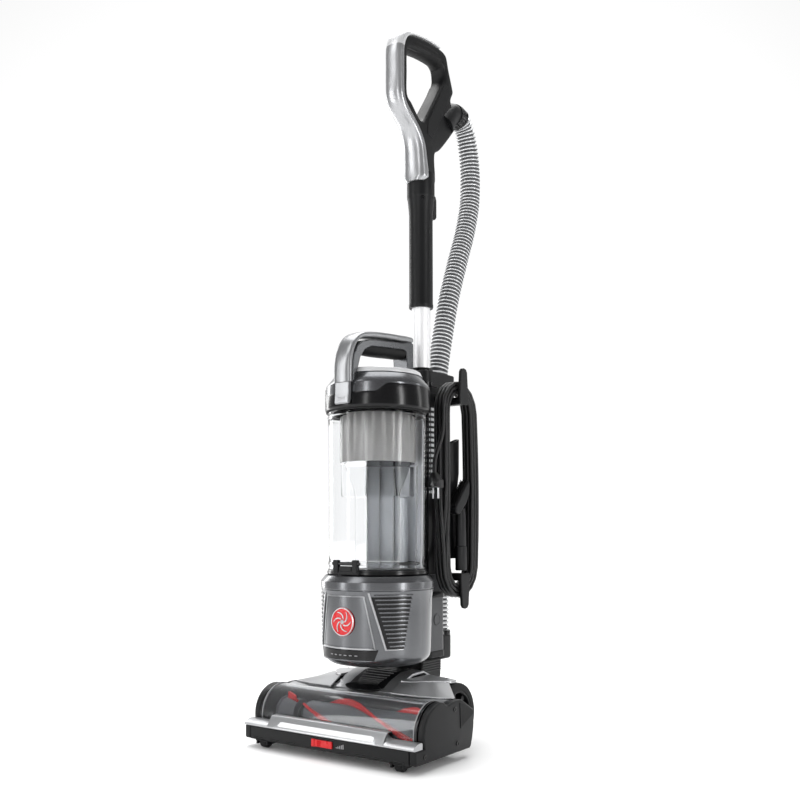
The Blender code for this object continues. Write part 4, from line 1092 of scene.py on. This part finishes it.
def make_crevice_tool():
    """Crevice tool: a flattened tapering tube, cut slanting at its mouth."""
    bm = bmesh.new()
    rows = []
    for z, y0, y1, x0, x1 in (
            (0.2752, 0.083, 0.1115, 0.036, 0.0492), (0.28, 0.0822, 0.112, 0.0356, 0.0493),
            (0.305, 0.0826, 0.1122, 0.0356, 0.0493), (0.307, 0.0834, 0.1116, 0.0362, 0.0488),
            (0.38, 0.0836, 0.1136, 0.0364, 0.0486), (0.415, 0.0836, 0.121, 0.0366, 0.0484),
            (0.46, 0.0834, 0.1226, 0.037, 0.048)):
        ring = []
        for u, v in oval((y1 - y0) / 2, (x1 - x0) / 2, 0.6, 0.6, 24):
            slant = 0.012 * (u / (y1 - y0) + 0.5) if z > 0.455 else 0.0
            ring.append(bm.verts.new(((x0 + x1) / 2 + v, (y0 + y1) / 2 + u, z + slant)))
        rows.append(ring)
    mouth = [bm.verts.new(Vector((0.0425, 0.103, vert.co.z)).lerp(vert.co, 0.8)) for vert in rows[-1]]
    deep = [bm.verts.new(vert.co - Vector((0, 0, 0.03))) for vert in mouth]
    bridge(bm, rows + [mouth, deep])
    piece("crevice_body", bm, "black", "crevice_tool", ["crevice_tool"], sharp=45)


def make_dusting_tool():
    """Dusting tool: a slanting head with bristles on a round neck."""
    bm = bmesh.new()
    neck = mm2(0, 256.2, 9, 256.2, 9.8, 258, 9.8, 294, 8.6, 294.6, 8.4, 295.2, 9, 296, 8.3, 345, 7, 356,
               0, 356)
    add_lathe(bm, neck, (0, 0), 40)
    for vert in bm.verts:
        vert.co = Vector((0.062 + vert.co.x * 0.85, 0.0995 + vert.co.y * 1.22, vert.co.z))
    piece("dusting_neck", bm, "black", "dusting_tool", ["dusting_tool"], sharp=45)
    head = mm2(74, 348, 85, 346, 106, 365, 115, 380, 116.5, 395, 113, 403, 85, 372.5, 73.5, 358)
    prism("dusting_head", "x", 0.0538, 0.0702, head, "black", "dusting_tool", bevel=0.0028, segments=4)
    bm = bmesh.new()
    for k in range(26):
        for j in range(4):
            t = k / 25
            base = Vector((0.056 + 0.004 * j, 0.075 + 0.037 * t, 0.359 + 0.0415 * t))
            out = Vector((random.uniform(-0.05, 0.05), -0.7, 0.68 + random.uniform(-0.05, 0.05))).normalized()
            tip = base + out * random.uniform(0.0035, 0.0045)
            a, b = [], []
            for m in range(4):
                w = Vector((0.0011 * math.cos(ROUND * m / 4), 0.0008 * math.sin(ROUND * m / 4), 0))
                a.append(bm.verts.new(base + w))
                b.append(bm.verts.new(tip + w * 0.7))
            bridge(bm, (a, b))
    piece("dusting_bristles", bm, "soft", "dusting_tool", sharp=30)


def make_plug():
    """Plug with a moulded grip and two blades, and the strain relief."""
    bm = bmesh.new()
    rows = []
    for z, w, d in mm3(387.2, 11, 9, 389, 11.5, 9.4, 399, 11.3, 9.2, 401, 9.4, 8.4, 406, 7.2, 7.4,
                       411, 4.8, 5):
        middle = 0.06 + 0.4 * (w - 0.0048)
        rows.append([bm.verts.new((middle + u, 0.0245 + v, z)) for u, v in oval(w, d, 0.55, 0.55)])
    bridge(bm, rows)
    plug = piece("plug_body", bm, "cord", "upright", ["power_plug"], sharp=45)
    blades = boxes("plug_blades", [((x - 0.0008, 0.0228, 0.3702), (x + 0.0008, 0.0262, 0.3878))
                                   for x in (0.0575, 0.0675)], "steel", "upright", bevel=0.0004)
    bm = bmesh.new()
    profile = [(0.0, 0.37), (0.006, 0.37)]
    for k in range(6):
        z = 0.367 - 0.0052 * k
        r = 0.0058 - 0.0003 * k
        profile += [(r, z), (r, z - 0.0026), (r - 0.001, z - 0.003), (r - 0.001, z - 0.0048)]
    profile += [(0.004, 0.3352), (0.0, 0.335)]
    add_lathe(bm, profile, (0.0424, 0.069), 32)
    boot = piece("strain_boot", bm, "rubber", "upright", ["strain_relief"], sharp=40)
    return plug, blades, boot


make_housing()
make_vents()
make_emblem()
make_neck()
make_duct()
make_spine()
make_tube()
make_pedal()
make_hooks()
make_crevice_tool()
make_dusting_tool()
PLUG, BLADES, BOOT = make_plug()


# Dust cup

CUP_AXIS = (0, CUP_Y)


def make_cup():
    """Clear wall, base, its floor and the hinge of its door."""
    body = "cup"
    wall = mm2(77.5, 502.5, 78.8, 502, 79, 500, 78, 498.5, 77.7, 495, 78.4, 494.4, 78.6, 492.8, 77.7, 491.8,
               77.2, 480, 76, 400, 74.9, 285, 74.8, 273, 75.6, 272, 75.8, 269, 75, 268.2, 74.9, 262.6,
               72.4, 262.6, 72.4, 285, 73.5, 400, 74.9, 495, 75, 502.5)
    lathe("cup_wall", wall, CUP_AXIS, "clear", body, ["dust_cup"], steps=128, ring=True, sharp=45)
    base = mm2(0, 262.2, 75.2, 262.2, 76, 261.2, 76, 259.6, 76.8, 259, 77.1, 257.6, 77.1, 255.6, 76, 254.5,
               0, 254.5)
    lathe("base_door", base, CUP_AXIS, "gloss", body, ["cup_base"], steps=128)
    floor = mm2(0, 266, 20, 266.5, 64, 264.5, 71.5, 263, 71.5, 262.3, 0, 262.3)
    lathe("base_floor", floor, CUP_AXIS, "grey", body, steps=96)
    # Hinge block of the door, on the front.
    hinge = pairs(-24, -122.2, 255, 24, -114, 262.5, -22.5, -124, 258, -13, -117, 277,
                  13, -124, 258, 22.5, -117, 277, -12, -123.2, 260, 12, -118, 268)
    boxes("door_hinge", hinge, "black", body, bevel=0.0014)
    lathe("door_pin", mm2(0, -25, 2.6, -25, 2.6, 25, 0, 25), (-0.1205, 0.2715), "gloss", body, steps=20,
          along="x", sharp=35)


def make_lid():
    """Lid band with a stepped upper edge, painted lid and pale rim."""
    body = "cup"
    bm = bmesh.new()
    steps = 160

    def step_height(angle):
        """The band stands higher on its rear and right, with a slanted step at the front right."""
        a = (math.degrees(angle) + 540) % 360 - 180
        d = abs(a + 90)
        d = min(d, 360 - d)
        s = min(1.0, max(0.0, (d - 33) / 16))
        return 0.5255 + 0.0125 * s * s * (3 - 2 * s)

    columns = []
    for k in range(steps):
        angle = ROUND * k / steps
        top = step_height(angle)
        ring = [(0.07, 0.5028), (0.0806, 0.5028), (0.0818, 0.504), (0.0822, 0.507), (0.0822, top - 0.002),
                (0.0812, top), (0.079, top), (0.07, top)]
        columns.append([bm.verts.new((r * math.cos(angle), CUP_Y + r * math.sin(angle), z)) for r, z in ring])
    bridge(bm, columns + columns[:1], caps=False)
    piece("lid_skirt", bm, "gloss", body, ["lid_band"], sharp=40)
    lid = mm2(0, 559, 30, 559.4, 57, 559.6, 66, 559.6, 67.2, 558.6, 74, 550, 80.4, 541.8, 81, 540, 81, 520,
              76, 520, 76, 538, 65, 556, 0, 556)
    lathe("lid_shell", lid, CUP_AXIS, "gun", body, ["cup_lid"], steps=128, sharp=25)
    rim = mm2(46, 559, 46.6, 561.2, 49, 562.2, 62, 564.6, 65.5, 564.6, 66.8, 563.8, 69, 559.2, 69.3, 557.6,
              67, 557.8)
    lathe("lid_rim", rim, CUP_AXIS, "pale_and_highlight", body, steps=128, ring=True, sharp=30)
    seal = mm2(75.5, 502.2, 80, 502.4, 80.6, 501.2, 80, 500, 79, 500.4)
    lathe("lid_seal", seal, CUP_AXIS, "rubber", body, steps=96, ring=True)


def make_carry_handle():
    """Carry handle: a silver bow over a black grip."""
    body = "cup"
    bow = mid(-129, 540, -130, 556, -129.5, 572, -125, 589, -116, 604, -102, 614, -78, 619.5, -40, 624,
              0, 627.2, 20, 628.8, 32.5, 629)

    def bow_section(i, share):
        wide = 0.016 - 0.0015 * share
        thick = 0.0058 - 0.0012 * math.sin(math.pi * min(1, share * 1.4)) ** 2
        return oval(wide, thick, 0.55, 0.75)

    sweep("bow_shell", smooth(bow, 5), bow_section, "satin", body, ["carry_handle"], sharp=50)
    # Dark side frame of the bow and its rear post.
    side = mm2(-124, 542, -125.5, 564, -122.5, 582, -115, 596, -102, 606, -80, 612, 6, 620.5, 23, 624.5,
               32.5, 624.5, 34, 620, 34, 565.5, 18, 565.5, 17, 590, 15, 606, 6, 609, -78, 601, -95, 593,
               -106, 580, -111, 565.5, -115, 556, -118, 542)
    prism("bow_frame", "x", -0.0148, 0.0148, side, "dark_gun", body, bevel=0.0022, segments=4)
    grip = mid(-96, 598.5, -86, 597.5, -60, 599, -20, 602.5, 8, 604.5, 16, 606)

    def grip_section(i, share):
        swell = 0.85 + 0.15 * math.sin(math.pi * share)
        return oval(0.015 * swell, 0.0105 * swell, count=24)

    sweep("grip_soft", smooth(grip, 5), grip_section, "soft", body, ["carry_grip"])


def make_latch():
    """Latch: a tab with a raised foot and grip lines."""
    outline = mm2(-133.5, 540, -126.2, 540, -126.2, 515, -129, 507.5, -133, 506.8, -134.8, 508.5,
                  -134.2, 518, -133.5, 524)
    prism("latch_tab", "x", -0.0128, 0.0128, outline, "satin", "cup_latch", ["cup_latch"], bevel=0.0013)
    boxes("latch_lines", [((-0.007, -0.1349, 0.512 + 0.0022 * k), (0.007, -0.1338, 0.5129 + 0.0022 * k))
                          for k in range(3)], "pcb", "cup_latch", bevel=0.0003)


def make_cyclone():
    """Pleated shroud, clear skirt and the column in the middle."""
    body = "cup"
    bm = bmesh.new()
    shroud = mm2(0, 500, 56, 500, 59, 498, 59, 427, 58, 424.2, 0, 424.2)

    def pleat(angle, k):
        return -0.0011 * abs(math.sin(12 * angle)) if k in (2, 3) else 0.0

    add_lathe(bm, shroud, CUP_AXIS, 192, wave=pleat)
    piece("shroud_pleated", bm, "shroud", body, ["cyclone_shroud"], sharp=50)
    skirt = mm2(0, 423.8, 57.5, 423.7, 57, 410, 56.2, 374, 55, 372, 0, 372)
    lathe("skirt_clear", skirt, CUP_AXIS, "thin", body, ["cyclone_skirt"], steps=96)
    column = mm2(0, 423.4, 50, 423.4, 47, 415, 36, 384, 35, 376, 34, 266.8, 0, 266.8)
    lathe("column_clear", column, CUP_AXIS, "thin", body, ["cyclone_cone"], steps=96)
    prism("duct_column", "z", 0.264, 0.3716, box_outline(0.001, 0.0, 0.017, 0.017, 0.004, 6),
          "panel", body, ["clean_air_duct"], bevel=0.0012)


def make_cup_back():
    """Grey back of the cup, with upright ribs, seen through the clear wall."""
    body = "cup"
    bm = bmesh.new()

    def back_radius(z):
        return 0.069 + 0.0025 * (z - 0.264) / 0.236

    curved_patch(bm, 8, 48, (0.265, 44, 140), (0.499, 44, 140), 0.0014, 0, back_radius)
    piece("cup_back", bm, "panel", body)
    bm = bmesh.new()
    for angle in (44.0, 62.0, 84.0, 108.0, 124.0, 138.6):
        curved_patch(bm, 6, 1, (0.265, angle, angle + 1.4), (0.422, angle, angle + 1.4), 0.0002, -0.0024,
                     back_radius)
    piece("cup_back_ribs", bm, "silver", body, bevel=0.0004)


make_cup()
make_lid()
make_carry_handle()
make_latch()
make_cyclone()
make_cup_back()


# Wand and handle

def make_wand():
    """Black sleeve on the tube, with its rear rib, release button and stud."""
    body = "wand"
    profile = mm2(16.1, 925, 23.4, 925, 23.6, 923, 23.6, 886, 23.2, 882, 22.6, 881.2, 22.6, 880, 22.2, 878,
                  20.6, 860, 20.1, 854, 20, 700, 20.5, 698.5, 20.5, 694, 19.8, 692.2, 18, 692, 16.1, 692)
    lathe("wand_sleeve", profile, (0, TUBE_Y), "black", body, ["wand_tube"], steps=96, ring=True, sharp=40)
    # Rear rib that carries the release button.
    rib = mm2(96, 830, 101, 842, 102.2, 852, 102.2, 902, 101, 912, 98, 925, 90, 925, 90, 830)
    prism("wand_rib", "x", -0.0085, 0.0085, rib, "black", body, bevel=0.0016)
    button = mm2(101.2, 853.5, 112, 855, 116, 860, 116, 890, 113, 897, 101.2, 899.8)
    prism("button_body", "x", -0.0068, 0.0068, button, "black", "wand_button", ["wand_button"], bevel=0.0014)
    bm = bmesh.new()
    for z in (0.88, 0.886):
        add_box(bm, (-0.0045, 0.1156, z), (0.0045, 0.1164, z + 0.0022))
    piece("button_mark", bm, "silver", "wand_button", bevel=0.0003)
    bm = bmesh.new()
    add_lathe(bm, mm2(0, 0, 3, 0, 3, 1, 2.2, 1.2, 1.8, 0.2, 0, 0.2), (0, 0), 24)
    turn = Matrix.Rotation(math.radians(-48), 4, "Z") @ Matrix.Rotation(math.radians(90), 4, "Y")
    bm.transform(Matrix.Translation((0.0, TUBE_Y, 0.879)) @ turn @ Matrix.Translation((0, 0, 0.0222)))
    piece("wand_stud", bm, "gloss", body)


def make_handle():
    """Loop of the handle, with a soft sleeve, a silver front and facets."""
    body = "wand"
    outer = mm2(60, 910, 56, 940.5, 54.5, 980.5, 38.8, 1000.3, 9.7, 1022.7, 2, 1035.4, 1, 1070, 1, 1125.3,
                5.4, 1139.4, 16.1, 1147.2, 32.3, 1153.1, 52.6, 1158, 89, 1163.8, 120, 1165.5, 135, 1162,
                141, 1154, 146, 1138, 158, 1109, 160, 1099, 154.5, 1088, 153, 1080, 161, 1068, 172, 1056,
                170, 1040, 150, 1015, 119.2, 981.8, 103, 970, 99.2, 956, 99.2, 910)
    hole = mm2(17.5, 1043, 17.2, 1080, 17.5, 1113, 24, 1126, 50, 1132, 85, 1139, 113, 1142, 126, 1137,
               130, 1126, 129, 1112, 115, 1088, 92, 1053, 70, 1020, 60, 1013, 50, 1016, 30, 1033)
    pillow("handle_core", 0.0157, [smooth(outer, 4, True), smooth(hole, 4, True)], 0.006, "black", body,
           ["handle_grip"])
    # Soft sleeve round the top bar.
    bar = mid(20, 1135, 35, 1140, 60, 1144.5, 90, 1148.5, 115, 1149.5, 129, 1145)

    def bar_section(i, share):
        s = 0.93 + 0.1 * math.sin(math.pi * share)
        return oval(0.0162 * s, 0.0128 * s)

    sweep("handle_sleeve", smooth(bar, 6), bar_section, "soft", body)
    # Silver front: an oval bar that thins to a strip over the top, where a paler paint stands in for the
    # light from above (painted highlight).
    bow = mid(64.5, 908, 64, 922, 62, 945, 57.5, 974, 42, 998, 14, 1020, 3.5, 1036, 1.5, 1056, 1.5, 1090,
              1.8, 1118, 7.5, 1137, 19, 1149, 36, 1156, 60, 1161.8, 89, 1166.5, 118, 1168)

    def front_section(i, share):
        if share < 0.28:
            t = share / 0.28
            wide, thick = 0.0232 - 0.0062 * t ** 1.5, 0.0152 - 0.0054 * t
            wide *= min(1.0, 0.55 + share * 12) ** 0.5
        elif share < 0.66:
            wide, thick = 0.017, 0.0098
        else:
            t = min(1.0, (share - 0.66) / 0.16)
            t = t * t * (3 - 2 * t)
            wide, thick = 0.017 - 0.002 * t, 0.0098 - 0.0074 * t
        return oval(wide, thick, 0.8, 0.85, 36)

    # Rings from 55 on take the pale paint: a painted highlight where the handle curves over the top.
    sweep("handle_front", smooth(bow, 6), front_section, "silver", body, ["handle_shell"],
          extra=("pale_and_highlight",), pick=lambda i: 1 if i >= 55 else 0)
    # Facets on the rear arm.
    facet = mm2(129, 1106, 144, 1104, 147, 1090, 108, 1020, 90, 990, 74, 995, 76, 1018, 98, 1052)
    for side, name in SIDES:
        prism("handle_facet_" + name, "x", side * 0.014, side * 0.0166, facet, "black", body)


def make_cuff():
    """Cuff of the hose, with its slotted ring."""
    body = "wand"
    cuff = mid(140, 1035, 150, 1048, 160, 1059, 169, 1067, 178, 1071, 185, 1071.8)

    def cuff_section(i, share):
        radius = 0.0235 - 0.0047 * share
        return oval(radius, radius, count=36)

    sweep("cuff_body", smooth(cuff, 4), cuff_section, "black", body, ["hose_cuff"])
    ring = mid(181.5, 1071.6, 188, 1071.8, 195, 1071.2, 202, 1069.6)

    def ring_section(i, share):
        edge = share < 0.12 or share > 0.88
        return [(u, v) if edge or k % 6 < 3 else (u * 0.932, v * 0.932)
                for k, (u, v) in enumerate(oval(0.0206, 0.0206, count=72))]

    sweep("cuff_ring", smooth(ring, 5), ring_section, "gloss", body, sharp=40)


make_wand()
make_handle()
make_cuff()

# Inner parts seen through gaps keep their CAD shape and get their own finish.
INNER = {
    "chassis": "black", "sole_plate": "steel", "suction_duct": "black", "brush_motor": "steel",
    "drive_belt": "rubber", "motor_pulley": "steel", "wheel_axle": "steel", "suction_motor": "steel",
    "motor_filter": "foam", "motor_fan": "black",
}
for node, kind in INNER.items():
    NODES[node].data.materials.clear()
    NODES[node].data.materials.append(M[kind])
